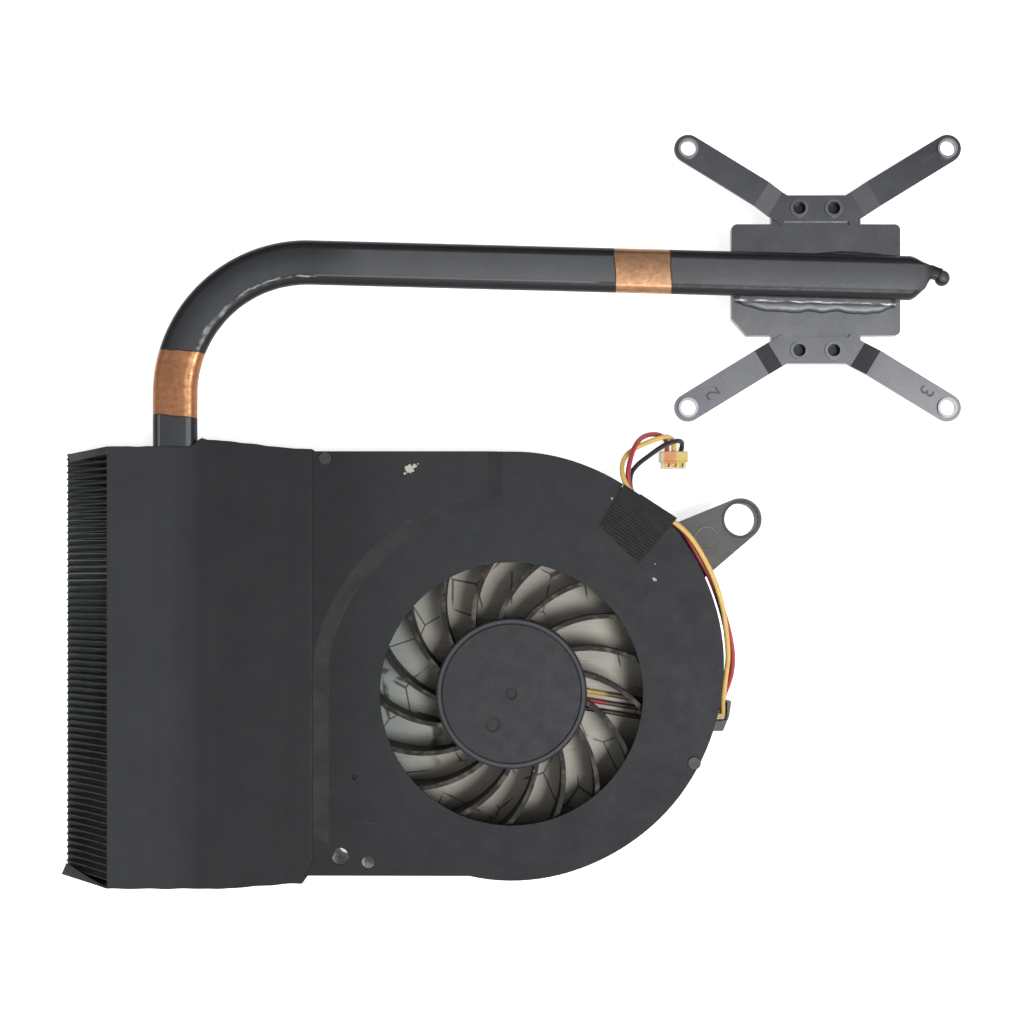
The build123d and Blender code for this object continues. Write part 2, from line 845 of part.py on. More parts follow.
# Connector housing with a bore and a lance window for each lead
plug_pitches = [(plug_x + plug_pitch * step, plug_rear_y) for step in (-1, 0, 1)]
plug_length = plug_rear_length + plug_nose_length
with BuildPart() as connector_housing:
    with Locations((plug_x, plug_rear_y, 0)):
        Box(plug_width, plug_rear_length, plug_height, align=(Align.CENTER, Align.MAX, Align.MIN))
        Box(plug_nose_width, plug_length, plug_nose_height, align=(Align.CENTER, Align.MAX, Align.MIN))
    chamfer(connector_housing.faces().sort_by(Axis.Z)[-1].edges(), plug_edge)
    with Locations([(x, y, plug_axis_z) for x, y in plug_pitches]):
        Box(
            plug_bore,
            plug_length,
            plug_bore,
            align=(Align.CENTER, Align.MAX, Align.CENTER),
            mode=Mode.SUBTRACT,
        )
    with Locations([(x, y - plug_rear_length - plug_slot_setback, plug_axis_z) for x, y in plug_pitches]):
        Box(
            plug_slot_width,
            plug_slot_depth,
            plug_height,
            align=(Align.CENTER, Align.MAX, Align.MIN),
            mode=Mode.SUBTRACT,
        )
connector_housing.part.label = "connector_housing"
export_step(connector_housing.part, "parts/connector_housing.step")

# Crimped terminal in each bore
with BuildPart() as connector_terminals:
    with Locations([(x, y, plug_axis_z - plug_bore / 2) for x, y in plug_pitches]):
        Box(
            terminal_width,
            plug_length - terminal_gap,
            terminal_height,
            align=(Align.CENTER, Align.MAX, Align.MIN),
        )
connector_terminals.part.label = "connector_terminals"
export_step(connector_terminals.part, "parts/connector_terminals.step")

# One folded fin: web with the step for the pipe, and a flange at the bottom, the top and the step
with BuildPart() as fin:
    with BuildSketch(Plane.XZ):
        with BuildLine():
            Polyline(
                (fin_front_x, 0),
                (fin_back_x, 0),
                (fin_back_x, fin_step_z),
                (fin_step_x, fin_step_z),
                (fin_step_x, top_z),
                (fin_top_front_x, top_z),
                (fin_front_x, fin_lip),
                close=True,
            )
        make_face()
    extrude(amount=-fin_thickness)
    flange_reach = fin_pitch - fin_gap
    flange_align = (Align.MIN, Align.MIN, Align.MIN)
    with Locations((fin_front_x, 0, 0)):
        Box(fin_back_x - fin_front_x, flange_reach, fin_thickness, align=flange_align)
    with Locations((fin_top_front_x, 0, top_z - fin_thickness)):
        Box(fin_step_x - fin_top_front_x, flange_reach, fin_thickness, align=flange_align)
    with Locations((fin_step_x, 0, fin_step_z - fin_thickness)):
        Box(fin_back_x - fin_step_x, flange_reach, fin_thickness, align=flange_align)

# The stack of fins
with BuildPart() as fin_stack:
    with Locations([(0, fin_near_y + fin_pitch * index, 0) for index in range(fin_count)]):
        add(fin.part)
fin_stack.part.label = "fin_stack"
export_step(fin_stack.part, "parts/fin_stack.step")

# Flattened heat pipe with its pinched tail
run_x, run_y = polar(1, pipe_run_angle)
run_dir = (run_x, run_y, 0)
pipe_mid_z = top_z - pipe_thickness / 2


def pipe_run_point(x):
    """The point of the pipe's straight run over the plate at a given x."""
    return (x, cpu_y + pipe_offset_y + (x - cpu_x) * run_y / run_x, pipe_mid_z)


def tail_plane(distance, lift):
    """A plane across the tail, that far past the pipe's full section and that far to the side."""
    end = Vector(pipe_run_point(cpu_x + plate_length / 2 + pipe_end_overhang))
    centre = end + Vector(run_dir) * distance + Vector(-run_y, run_x, 0) * lift
    return Plane(origin=centre, x_dir=(run_y, -run_x, 0), z_dir=run_dir)


with BuildPart() as heat_pipe:
    pipe_start = (pipe_x, fin_near_y + pipe_start_inset, pipe_mid_z)
    with BuildLine() as pipe_route:
        FilletPolyline(
            pipe_start,
            pipe_run_point(pipe_x),
            tuple(tail_plane(0, 0).origin),
            radius=pipe_bend_radius,
        )
    with BuildSketch(Plane(origin=pipe_start, x_dir=(1, 0, 0), z_dir=(0, 1, 0))):
        SlotOverall(pipe_width, pipe_thickness)
    sweep()
    with BuildSketch(tail_plane(0, 0)):
        SlotOverall(pipe_width, pipe_thickness)
    with BuildSketch(tail_plane(tail_length, tail_lift)):
        SlotOverall(tail_width, tail_thickness)
    with BuildSketch(tail_plane(tail_ball_offset, tail_ball_lift)):
        SlotOverall(tail_end_width, tail_end_thickness)
    loft(ruled=True)
    with Locations(tail_plane(tail_ball_offset, tail_ball_lift).origin):
        Sphere(tail_ball_radius)
heat_pipe.part.label = "heat_pipe"
export_step(heat_pipe.part, "parts/heat_pipe.step")


def film_outline(offset, left_x, right_x):
    """Plan of the film at a given offset outside the fins and the fan, between two ends."""
    Polyline(
        (left_x, fin_near_y - offset),
        (fin_back_x, fin_near_y - offset),
        (duct_knee_x, tongue_y - offset),
        (right_x, tongue_y - offset),
        (right_x, duct_top_y + offset),
        (duct_knee_x, duct_top_y + offset),
        (fin_back_x, fin_far_y + offset),
        (left_x, fin_far_y + offset),
        close=True,
    )


# Black film over the fins, the pipe and the outlet, with skirts that reach over the fins' slanted ends
with BuildPart() as duct_wrap:
    with BuildSketch(Plane.XY.offset(film_skirt_z)):
        with BuildLine():
            film_outline(film_gap + film_thickness, fin_top_front_x, film_right_x)
        make_face()
    extrude(amount=top_z + film_thickness - film_skirt_z)
    with BuildSketch(Plane.XY.offset(film_skirt_z)):
        with BuildLine():
            film_outline(film_gap, fin_front_x, film_right_x + ramp_width)
        make_face()
    extrude(amount=top_z - film_skirt_z, mode=Mode.SUBTRACT)
    for side_y in (fin_far_y + film_gap + film_thickness, fin_near_y - film_gap):
        with BuildSketch(Plane.XZ.offset(-side_y)):
            with BuildLine():
                Polyline(
                    (fin_top_front_x, film_skirt_z),
                    (fin_top_front_x, top_z + film_thickness),
                    (film_tip_x, film_skirt_z),
                    close=True,
                )
            make_face()
        extrude(amount=film_thickness)
    with Locations((pipe_x, fin_far_y, top_z)):
        Box(
            pipe_width + 2 * film_pipe_gap,
            4 * (film_gap + film_thickness),
            2 * (pipe_thickness + film_pipe_gap),
            mode=Mode.SUBTRACT,
        )
duct_wrap.part.label = "duct_wrap"
export_step(duct_wrap.part, "parts/duct_wrap.step")

# Processor plate with a tab under each bracket
rivet_places = [
    (cpu_x + side * rivet_spacing / 2, cpu_y + end * bar_offset) for side in (-1, 1) for end in (-1, 1)
]
with BuildPart() as cpu_plate:
    with BuildSketch(Plane.XY.offset(plate_bottom)):
        with Locations((cpu_x, cpu_y)):
            RectangleRounded(plate_length, plate_width, plate_corner)
            Rectangle(plate_tab_width, 2 * plate_tab_reach)
        with Locations((cpu_x - plate_length / 2, cpu_y - plate_width / 2)):
            Polygon((0, 0), (plate_chamfer[0], 0), (0, plate_chamfer[1]), align=None, mode=Mode.SUBTRACT)
        with Locations(rivet_places):
            Circle(rivet_radius, mode=Mode.SUBTRACT)
    extrude(amount=plate_thickness)
cpu_plate.part.label = "cpu_plate"
export_step(cpu_plate.part, "parts/cpu_plate.step")

# Upper spring bracket: a bar on the plate's tab and two arms that step up to the screw holes
with BuildPart() as upper_bracket:
    with BuildSketch(Plane.XY.offset(plate_top)):
        with Locations((cpu_x, cpu_y + bar_offset)):
            RectangleRounded(bar_length, bar_width, bar_corner)
    extrude(amount=bracket_thickness)
    for side in (-1, 1):
        arm_x, arm_y = polar(1, arm_angle)
        hole = (cpu_x + side * screw_spacing / 2, cpu_y + screw_spacing / 2)
        bend = (hole[0] - side * arm_length * arm_x, hole[1] - arm_length * arm_y, plate_top)
        along = (side * arm_x, arm_y, 0)
        with BuildSketch(Plane(origin=bend, x_dir=along, z_dir=(arm_y, -side * arm_x, 0))):
            with BuildLine():
                Polyline(
                    (-arm_root, 0),
                    (0, 0),
                    (arm_ramp, arm_rise),
                    (arm_length, arm_rise),
                    (arm_length, arm_rise + bracket_thickness),
                    (arm_ramp, arm_rise + bracket_thickness),
                    (0, bracket_thickness),
                    (-arm_root, bracket_thickness),
                    close=True,
                )
            make_face()
        extrude(amount=arm_width / 2, both=True)
        with BuildSketch(Plane.XY.offset(plate_top + arm_rise)):
            with Locations(hole):
                Circle(arm_width / 2)
        extrude(amount=bracket_thickness)
        with BuildSketch(Plane.XY.offset(plate_top + arm_rise)):
            with Locations(hole):
                Circle(collar_radius)
        extrude(amount=bracket_thickness + collar_height)
        with BuildSketch(Plane.XY.offset(plate_top + arm_rise)):
            with Locations(hole):
                Circle(screw_radius)
        extrude(amount=bracket_thickness + collar_height, mode=Mode.SUBTRACT)
    with BuildSketch(Plane.XY.offset(plate_top)):
        with Locations(rivet_places):
            Circle(rivet_radius)
    extrude(amount=bracket_thickness, mode=Mode.SUBTRACT)
upper_bracket.part.label = "upper_bracket"
export_step(upper_bracket.part, "parts/upper_bracket.step")

# Lower spring bracket, the same piece turned over the plate's middle
with BuildPart() as lower_bracket:
    mirror(upper_bracket.part, about=Plane.XZ.offset(-cpu_y))
lower_bracket.part.label = "lower_bracket"
export_step(lower_bracket.part, "parts/lower_bracket.step")

# Hollow rivets through the brackets and the plate's tabs
with BuildPart() as bracket_rivets:
    bar_top = plate_top + bracket_thickness
    for place in rivet_places:
        with BuildSketch(Plane.XY.offset(plate_bottom)):
            with Locations(place):
                Circle(rivet_radius)
        extrude(amount=bar_top - plate_bottom)
        with BuildSketch(Plane.XY.offset(bar_top)):
            with Locations(place):
                Circle(rivet_head_radius)
        extrude(amount=rivet_head_height)
        with BuildSketch(Plane.XY.offset(bar_top + rivet_head_height)):
            with Locations(place):
                Circle(rivet_bore_radius)
        extrude(amount=-rivet_bore_depth, mode=Mode.SUBTRACT)
bracket_rivets.part.label = "bracket_rivets"
export_step(bracket_rivets.part, "parts/bracket_rivets.step")

# Solder beads on the plate along both sides of the pipe: shares of half the plate's length, and of the width
lower_bead = [(-0.96, 0.46), (-0.7, 0.96), (-0.37, 0.7), (0, 1), (0.3, 0.73), (0.64, 0.96), (0.95, 0.5)]
upper_bead = [(-0.13, 0.2), (0.23, 0.42), (0.6, 0.3), (0.88, 0.2)]
bead_plane = Plane(
    origin=(cpu_x, cpu_y + pipe_offset_y, plate_top),
    x_dir=run_dir,
    z_dir=(0, 0, 1),
)
with BuildPart() as solder_beads:
    for side, edge in ((-1, lower_bead), (1, upper_bead)):
        tuck_y = side * (pipe_width / 2 - bead_tuck)
        outer = [
            (along * plate_length / 2, side * (pipe_width / 2 + bead_width * share)) for along, share in edge
        ]
        with BuildSketch(bead_plane):
            with BuildLine():
                Spline(*outer)
                Polyline(outer[-1], (outer[-1][0], tuck_y), (outer[0][0], tuck_y), outer[0])
            make_face()
        extrude(amount=bead_height)
    add(heat_pipe.part, mode=Mode.SUBTRACT)
solder_beads.part.label = "solder_beads"
export_step(solder_beads.part, "parts/solder_beads.step")
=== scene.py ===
"""Looks of a laptop's cooling fan over its CAD frame: paint, metal, film, cloth tape, leads and solder."""

import math

import bpy
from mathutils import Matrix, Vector, noise


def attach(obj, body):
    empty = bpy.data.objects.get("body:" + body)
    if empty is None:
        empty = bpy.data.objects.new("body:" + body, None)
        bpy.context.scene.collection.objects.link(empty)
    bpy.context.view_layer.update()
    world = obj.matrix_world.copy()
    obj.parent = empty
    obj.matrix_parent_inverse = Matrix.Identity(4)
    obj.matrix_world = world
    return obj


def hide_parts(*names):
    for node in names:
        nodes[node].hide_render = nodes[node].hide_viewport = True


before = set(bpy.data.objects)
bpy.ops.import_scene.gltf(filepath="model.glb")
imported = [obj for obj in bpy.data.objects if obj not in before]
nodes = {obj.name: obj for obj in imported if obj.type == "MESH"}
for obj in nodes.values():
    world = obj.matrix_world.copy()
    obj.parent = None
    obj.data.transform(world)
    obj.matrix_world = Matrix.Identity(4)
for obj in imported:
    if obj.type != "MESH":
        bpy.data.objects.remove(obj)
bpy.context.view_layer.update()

MM = 0.001

# Past every piece, in millimetres
FAR = 200

# Places shared by several pieces, in millimetres
top_z = 12.4
cover_z = 11.8
hub_top_z = 11.3
arm_top_z = 10.9
pipe_x = -59.2
pipe_start_y = -33.2
pipe_bend_y = 52.7
pipe_bend_radius = 23.2
pipe_bend_x = pipe_x + pipe_bend_radius
pipe_turn = math.radians(91.5)
pipe_width = 7.8
pipe_thickness = 3.0
pipe_z = top_z - pipe_thickness / 2
run_angle = math.radians(-1.5)
run_cos, run_sin = math.cos(run_angle), math.sin(run_angle)
run_end_x = 69.85
run_end_y = 73.13
plate_x = 53.9
plate_top = 9.4
pipe_plate_y = 73.55
channel_turn = math.radians(56.8)
channel_cos, channel_sin = math.cos(channel_turn), math.sin(channel_turn)
fin_top_front_x = -70.8
fin_slant = 11.4 / 10.5
ear_hole = (40.73, 30.8)
ear_mark = (34.75, 27.36)
screw_hole = (-30.1, -28.5)
pin_hole = (-25.2, -29.6)


def set_mode(mode):
    """Open the piece for editing, or close it."""
    bpy.ops.object.mode_set(mode=mode)


def start_piece():
    """Leave edit mode and select nothing, so that the next tool acts on its own piece only."""
    if bpy.context.object and bpy.context.object.mode != "OBJECT":
        set_mode("OBJECT")
    bpy.ops.object.select_all(action="DESELECT")
    bpy.context.tool_settings.mesh_select_mode = (True, False, False)


def call_it(name):
    """Name the piece that was just added."""
    piece = bpy.context.object
    piece.name = name
    piece.data.name = name
    return piece


def select_nothing(piece):
    """Close the piece and select none of its points, edges and faces."""
    set_mode("OBJECT")
    for part in (*piece.data.polygons, *piece.data.edges, *piece.data.vertices):
        part.select = False


def select_points(piece, wanted):
    """Select the points whose place, in millimetres, passes the test, and open the piece for editing."""
    select_nothing(piece)
    for point in piece.data.vertices:
        point.select = wanted(point.co / MM)
    set_mode("EDIT")


def push_points(piece, move):
    """Move every point of a piece to the place that move() gives, both in millimetres."""
    set_mode("OBJECT")
    for point in piece.data.vertices:
        point.co = Vector(move(*(point.co / MM))) * MM


def close_piece(smooth_angle):
    """Merge doubles of the open piece, turn its faces outwards and smooth its soft edges."""
    set_mode("EDIT")
    bpy.ops.mesh.select_all(action="SELECT")
    bpy.ops.mesh.remove_doubles(threshold=0.01 * MM)
    bpy.ops.mesh.normals_make_consistent(inside=False)
    set_mode("OBJECT")
    bpy.ops.object.shade_smooth_by_angle(angle=math.radians(smooth_angle))


def extrude_edges(x, y, z):
    """Carry the selected edges on by a step in millimetres."""
    bpy.ops.mesh.extrude_edges_move(TRANSFORM_OT_translate={"value": (x * MM, y * MM, z * MM)})


def use_modifier(piece, kind, **values):
    """Add a modifier to the piece and apply it."""
    set_mode("OBJECT")
    modifier = piece.modifiers.new(kind.lower(), kind)
    for name, value in values.items():
        setattr(modifier, name, value)
    bpy.ops.object.modifier_apply(modifier=modifier.name)


def ramp(value, low, high):
    """Smooth step from 0 at low to 1 at high."""
    share = min(1.0, max(0.0, (value - low) / (high - low)))
    return share * share * (3 - 2 * share)


def hump(value, middle, width):
    """Smooth bump of height 1 round a middle."""
    return math.exp(-(((value - middle) / width) ** 2))


def lumps(x, y, size, seed=0.0):
    """Uneven height between about -1 and 1, with lumps of the given size in millimetres."""
    return noise.noise(Vector((x / size, y / size, seed)))


# Node trees


def put(kind, inputs, **settings):
    """Add a node; an input is a value or another node's output, and the tree is that output's tree."""
    joined = {name: value for name, value in inputs.items() if isinstance(value, bpy.types.NodeSocket)}
    tree = next(iter(joined.values())).id_data
    node = tree.nodes.new(kind)
    for name, value in settings.items():
        setattr(node, name, value)
    for name, value in inputs.items():
        if name in joined:
            tree.links.new(value, node.inputs[name])
        else:
            node.inputs[name].default_value = value
    return node


def join(output, socket):
    """Link an output to a socket."""
    socket.id_data.links.new(output, socket)


def sums(operation, first, second=0.0):
    """A math node's result."""
    return put("ShaderNodeMath", {0: first, 1: second}, operation=operation).outputs[0]


def plus(first, second):
    """The sum of two values."""
    return sums("ADD", first, second)


def minus(first, second):
    """The difference of two values."""
    return sums("SUBTRACT", first, second)


def times(first, second):
    """The product of two values, or where two masks meet."""
    return sums("MULTIPLY", first, second)


def either(first, second):
    """Where either of two masks is."""
    return sums("MAXIMUM", first, second)


def spread(value, low, high, at_low=0.0, at_high=1.0):
    """A value carried from one range to another, and held at its ends."""
    ends = {"From Min": low, "From Max": high, "To Min": at_low, "To Max": at_high}
    return put("ShaderNodeMapRange", {"Value": value, **ends}).outputs[0]


def lay(under, over, mask):
    """One colour laid over another through a mask."""
    return put("ShaderNodeMix", {0: mask, 6: under, 7: over}, data_type="RGBA").outputs[2]


def blend_values(under, over, mask):
    """One value laid over another through a mask."""
    return put("ShaderNodeMix", {0: mask, 2: under, 3: over}, data_type="FLOAT").outputs[0]


def shade(red, green, blue):
    """A colour as seen on a screen, 0 to 255, in the linear values that shaders take."""

    def linear(value):
        value = value / 255
        return value / 12.92 if value <= 0.04045 else ((value + 0.055) / 1.055) ** 2.4

    return (linear(red), linear(green), linear(blue), 1.0)


def fine_grain(place, scale, detail=2.0):
    """Height of a fine grain."""
    return put("ShaderNodeTexNoise", {"Vector": place, "Scale": scale, "Detail": detail}).outputs[0]


def new_effect(name, takes, gives):
    """A shared effect with named inputs and one named output."""
    effect = bpy.data.node_groups.new(name, "ShaderNodeTree")
    for label in takes:
        kind = "NodeSocketVector" if label in ("Place", "Centre") else "NodeSocketFloat"
        effect.interface.new_socket(label, in_out="INPUT", socket_type=kind)
    effect.interface.new_socket(gives, in_out="OUTPUT", socket_type="NodeSocketFloat")
    return effect, effect.nodes.new("NodeGroupInput").outputs, effect.nodes.new("NodeGroupOutput").inputs


def make_mottle():
    """Slow uneven tone between two values."""
    effect, given, end = new_effect("mottle", ("Place", "Scale", "Low", "High"), "Tone")
    cloud = {"Vector": given["Place"], "Scale": given["Scale"], "Detail": 4.0, "Roughness": 0.55}
    tone = put("ShaderNodeTexNoise", cloud).outputs[0]
    join(spread(tone, 0.28, 0.72, given["Low"], given["High"]), end["Tone"])
    return effect


def make_specks():
    """Scattered dust or chips: a share of the cells holds one speck each."""
    effect, given, end = new_effect("specks", ("Place", "Scale", "Size", "Share"), "Mask")
    cells = put("ShaderNodeTexVoronoi", {"Vector": given["Place"], "Scale": given["Scale"]})
    wobble = times(fine_grain(given["Place"], 3000.0), given["Size"])
    reach = plus(cells.outputs["Distance"], wobble)
    inside = sums("LESS_THAN", reach, given["Size"])
    pick = put("ShaderNodeSeparateColor", {"Color": cells.outputs["Color"]})
    chosen = sums("LESS_THAN", pick.outputs[0], given["Share"])
    join(times(inside, chosen), end["Mask"])
    return effect


def make_hairlines():
    """Thin broken scratches."""
    effect, given, end = new_effect("hairlines", ("Place", "Scale", "Width", "Share"), "Mask")
    field = fine_grain(given["Place"], given["Scale"], 1.0)
    away = sums("ABSOLUTE", minus(field, 0.5))
    narrow_line_and_lit_depth = sums("LESS_THAN", away, given["Width"])
    kept = sums("LESS_THAN", fine_grain(given["Place"], 130.0), given["Share"])
    join(times(narrow_line_and_lit_depth, kept), end["Mask"])
    return effect


def make_spot():
    """A round patch with a ragged rim."""
    effect, given, end = new_effect("spot", ("Place", "Centre", "Radius", "Ragged"), "Mask")
    ends = {0: given["Place"], 1: given["Centre"]}
    reach = put("ShaderNodeVectorMath", ends, operation="DISTANCE").outputs["Value"]
    ripple = minus(fine_grain(given["Place"], 1300.0, 3.0), 0.5)
    ragged = plus(reach, times(ripple, given["Ragged"]))
    join(sums("LESS_THAN", ragged, given["Radius"]), end["Mask"])
    return effect


def make_strip():
    """1 between two values, with soft ends."""
    effect, given, end = new_effect("strip", ("Value", "Low", "High", "Soft"), "Mask")
    sides = []
    for edge, sign in (("Low", 1.0), ("High", -1.0)):
        inward = times(minus(given["Value"], given[edge]), sign)
        share = sums("DIVIDE", inward, given["Soft"])
        side = put("ShaderNodeMath", {0: share, 1: 0.5}, operation="ADD", use_clamp=True)
        sides.append(side.outputs[0])
    join(times(*sides), end["Mask"])
    return effect


mottle = make_mottle()
specks = make_specks()
hairlines = make_hairlines()
spot = make_spot()
strip = make_strip()


def use_effect(effect, inputs):
    """A shared effect's output."""
    return put("ShaderNodeGroup", inputs, node_tree=effect).outputs[0]


def axes(place):
    """The three coordinates, one by one."""
    parts = put("ShaderNodeSeparateXYZ", {0: place})
    return parts.outputs[0], parts.outputs[1], parts.outputs[2]


def between(value, low, high, soft):
    """1 between two places in millimetres."""
    return use_effect(strip, {"Value": value, "Low": low * MM, "High": high * MM, "Soft": soft * MM})


def past(value, low, soft):
    """1 past a place in millimetres."""
    return between(value, low, FAR, soft)


def short_of(value, high, soft):
    """1 up to a place in millimetres."""
    return between(value, -FAR, high, soft)


def radius_from(place, x, y):
    """Distance in plan from a point, given in millimetres."""
    flat = put("ShaderNodeVectorMath", {0: place, 1: (1, 1, 0)}, operation="MULTIPLY").outputs[0]
    ends = {0: flat, 1: (x * MM, y * MM, 0)}
    return put("ShaderNodeVectorMath", ends, operation="DISTANCE").outputs["Value"]


def stretched(place, turn, scale):
    """Coordinates turned about Z and scaled, for grain that runs one way."""
    turned = {"Vector": place, "Rotation": (0, 0, turn), "Scale": scale}
    return put("ShaderNodeMapping", turned).outputs[0]


def wander(place, scale, width):
    """An uneven offset that makes a straight edge ragged, its width in millimetres."""
    return times(minus(fine_grain(place, scale, 3.0), 0.5), width * MM)


def uneven(place, scale, low, high):
    """A value that wanders slowly between two others."""
    return use_effect(mottle, {"Place": place, "Scale": scale, "Low": low, "High": high})


def toned(colour, place, *tones):
    """A colour with one or more uneven tones, each given by its scale and its two ends."""
    for tone in tones:
        inputs = {0: 1.0, 6: colour, 7: uneven(place, *tone)}
        colour = put("ShaderNodeMix", inputs, data_type="RGBA", blend_type="MULTIPLY").outputs[2]
    return colour


def dusted(colour, place, tone, scale, size, share):
    """A colour with scattered specks of another tone."""
    dust = use_effect(specks, {"Place": place, "Scale": scale, "Size": size, "Share": share})
    return lay(colour, tone, dust)


def spotted(colour, place, tone, centre, radius, ragged):
    """A colour with one ragged spot, placed and sized in millimetres."""
    middle = tuple(value * MM for value in centre)
    sizes = {"Radius": radius * MM, "Ragged": ragged * MM}
    return lay(colour, tone, use_effect(spot, {"Place": place, "Centre": middle, **sizes}))


def begin_finish(name, metallic=0.0, specular=0.5):
    """A new material with its shader and the piece's own coordinates."""
    finish = bpy.data.materials.new(name)
    finish.use_nodes = True
    shader = finish.node_tree.nodes["Principled BSDF"]
    shader.inputs["Metallic"].default_value = metallic
    shader.inputs["Specular IOR Level"].default_value = specular
    place = finish.node_tree.nodes.new("ShaderNodeTexCoord").outputs["Object"]
    return finish, shader, place


def coat(shader, colour, roughness):
    """Give a shader its colour and its roughness."""
    join(colour, shader.inputs["Base Color"])
    join(roughness, shader.inputs["Roughness"])


def emboss(shader, height, depth):
    """A height as relief, its depth in millimetres."""
    bump = put("ShaderNodeBump", {"Height": height, "Distance": depth * MM, "Strength": 1.0})
    join(bump.outputs[0], shader.inputs["Normal"])


def give(node, finish):
    """Put one finish on a CAD piece."""
    piece = nodes[node]
    piece.data.materials.clear()
    piece.data.materials.append(finish)


# Finishes


def make_cover_paint():
    """Matt sheet paint with chips, dust and fine scratches, and painted shade towards the bottom, towards
    the left and on the ramp.
    """
    finish, shader, place = begin_finish("cover_paint", specular=0.22)
    x, y, z = axes(place)
    # Painted shade: darker towards the bottom and the left, and on the ramp, which faces the lamp
    colour = lay(shade(42, 43, 46), shade(38, 38, 42), short_of(y, -14, 14))
    colour = lay(colour, shade(32, 33, 35), short_of(x, -24, 12))
    on_ramp = between(z, cover_z + 0.01, top_z - 0.01, 0.015)
    colour = lay(colour, shade(28, 29, 31), times(on_ramp, 0.8))
    colour = toned(colour, place, (60.0, 0.95, 1.05), (2600.0, 0.93, 1.07))
    colour = dusted(colour, place, shade(150, 152, 155), 160.0, 0.05, 0.13)
    bare_and_lit = shade(182, 177, 165)
    rubbed_paint = shade(165, 168, 171)
    for chip_x, chip_y, radius, ragged, tone in (
        (-17.8, 39.55, 0.95, 1.6, bare_and_lit),
        (-16.9, 39.9, 0.75, 1.2, bare_and_lit),
        (-18.65, 38.85, 0.6, 0.9, bare_and_lit),
        (25.1, 20.1, 0.36, 0.9, rubbed_paint),
        (17.6, 34.3, 0.22, 0.9, rubbed_paint),
    ):
        colour = spotted(colour, place, tone, (chip_x, chip_y, cover_z), radius, ragged)
    rubbed = stretched(place, math.radians(-40), (260, 2600, 400))
    scratch = use_effect(hairlines, {"Place": rubbed, "Scale": 1.0, "Width": 0.006, "Share": 0.42})
    colour = lay(colour, shade(92, 94, 98), times(scratch, 0.5))
    coat(shader, colour, uneven(place, 300.0, 0.5, 0.62))
    emboss(shader, fine_grain(place, 3200.0), 0.02)
    return finish


def make_film_black():
    """Matt black film, paler over the fins, with painted shade on the flaps at their ends."""
    finish, shader, place = begin_finish("film_black", specular=0.25)
    x, _, _ = axes(place)
    colour = lay(shade(34, 35, 37), shade(48, 49, 51), short_of(x, -57, 7))
    # Painted shade on the flaps at the film's ends
    colour = lay(colour, shade(22, 23, 24), short_of(x, fin_top_front_x - 0.4, 0.3))
    colour = toned(colour, place, (90.0, 0.94, 1.06), (1900.0, 0.93, 1.07))
    colour = dusted(colour, place, shade(165, 167, 170), 170.0, 0.06, 0.16)
    coat(shader, colour, uneven(place, 200.0, 0.52, 0.66))
    emboss(shader, fine_grain(place, 1500.0), 0.03)
    return finish


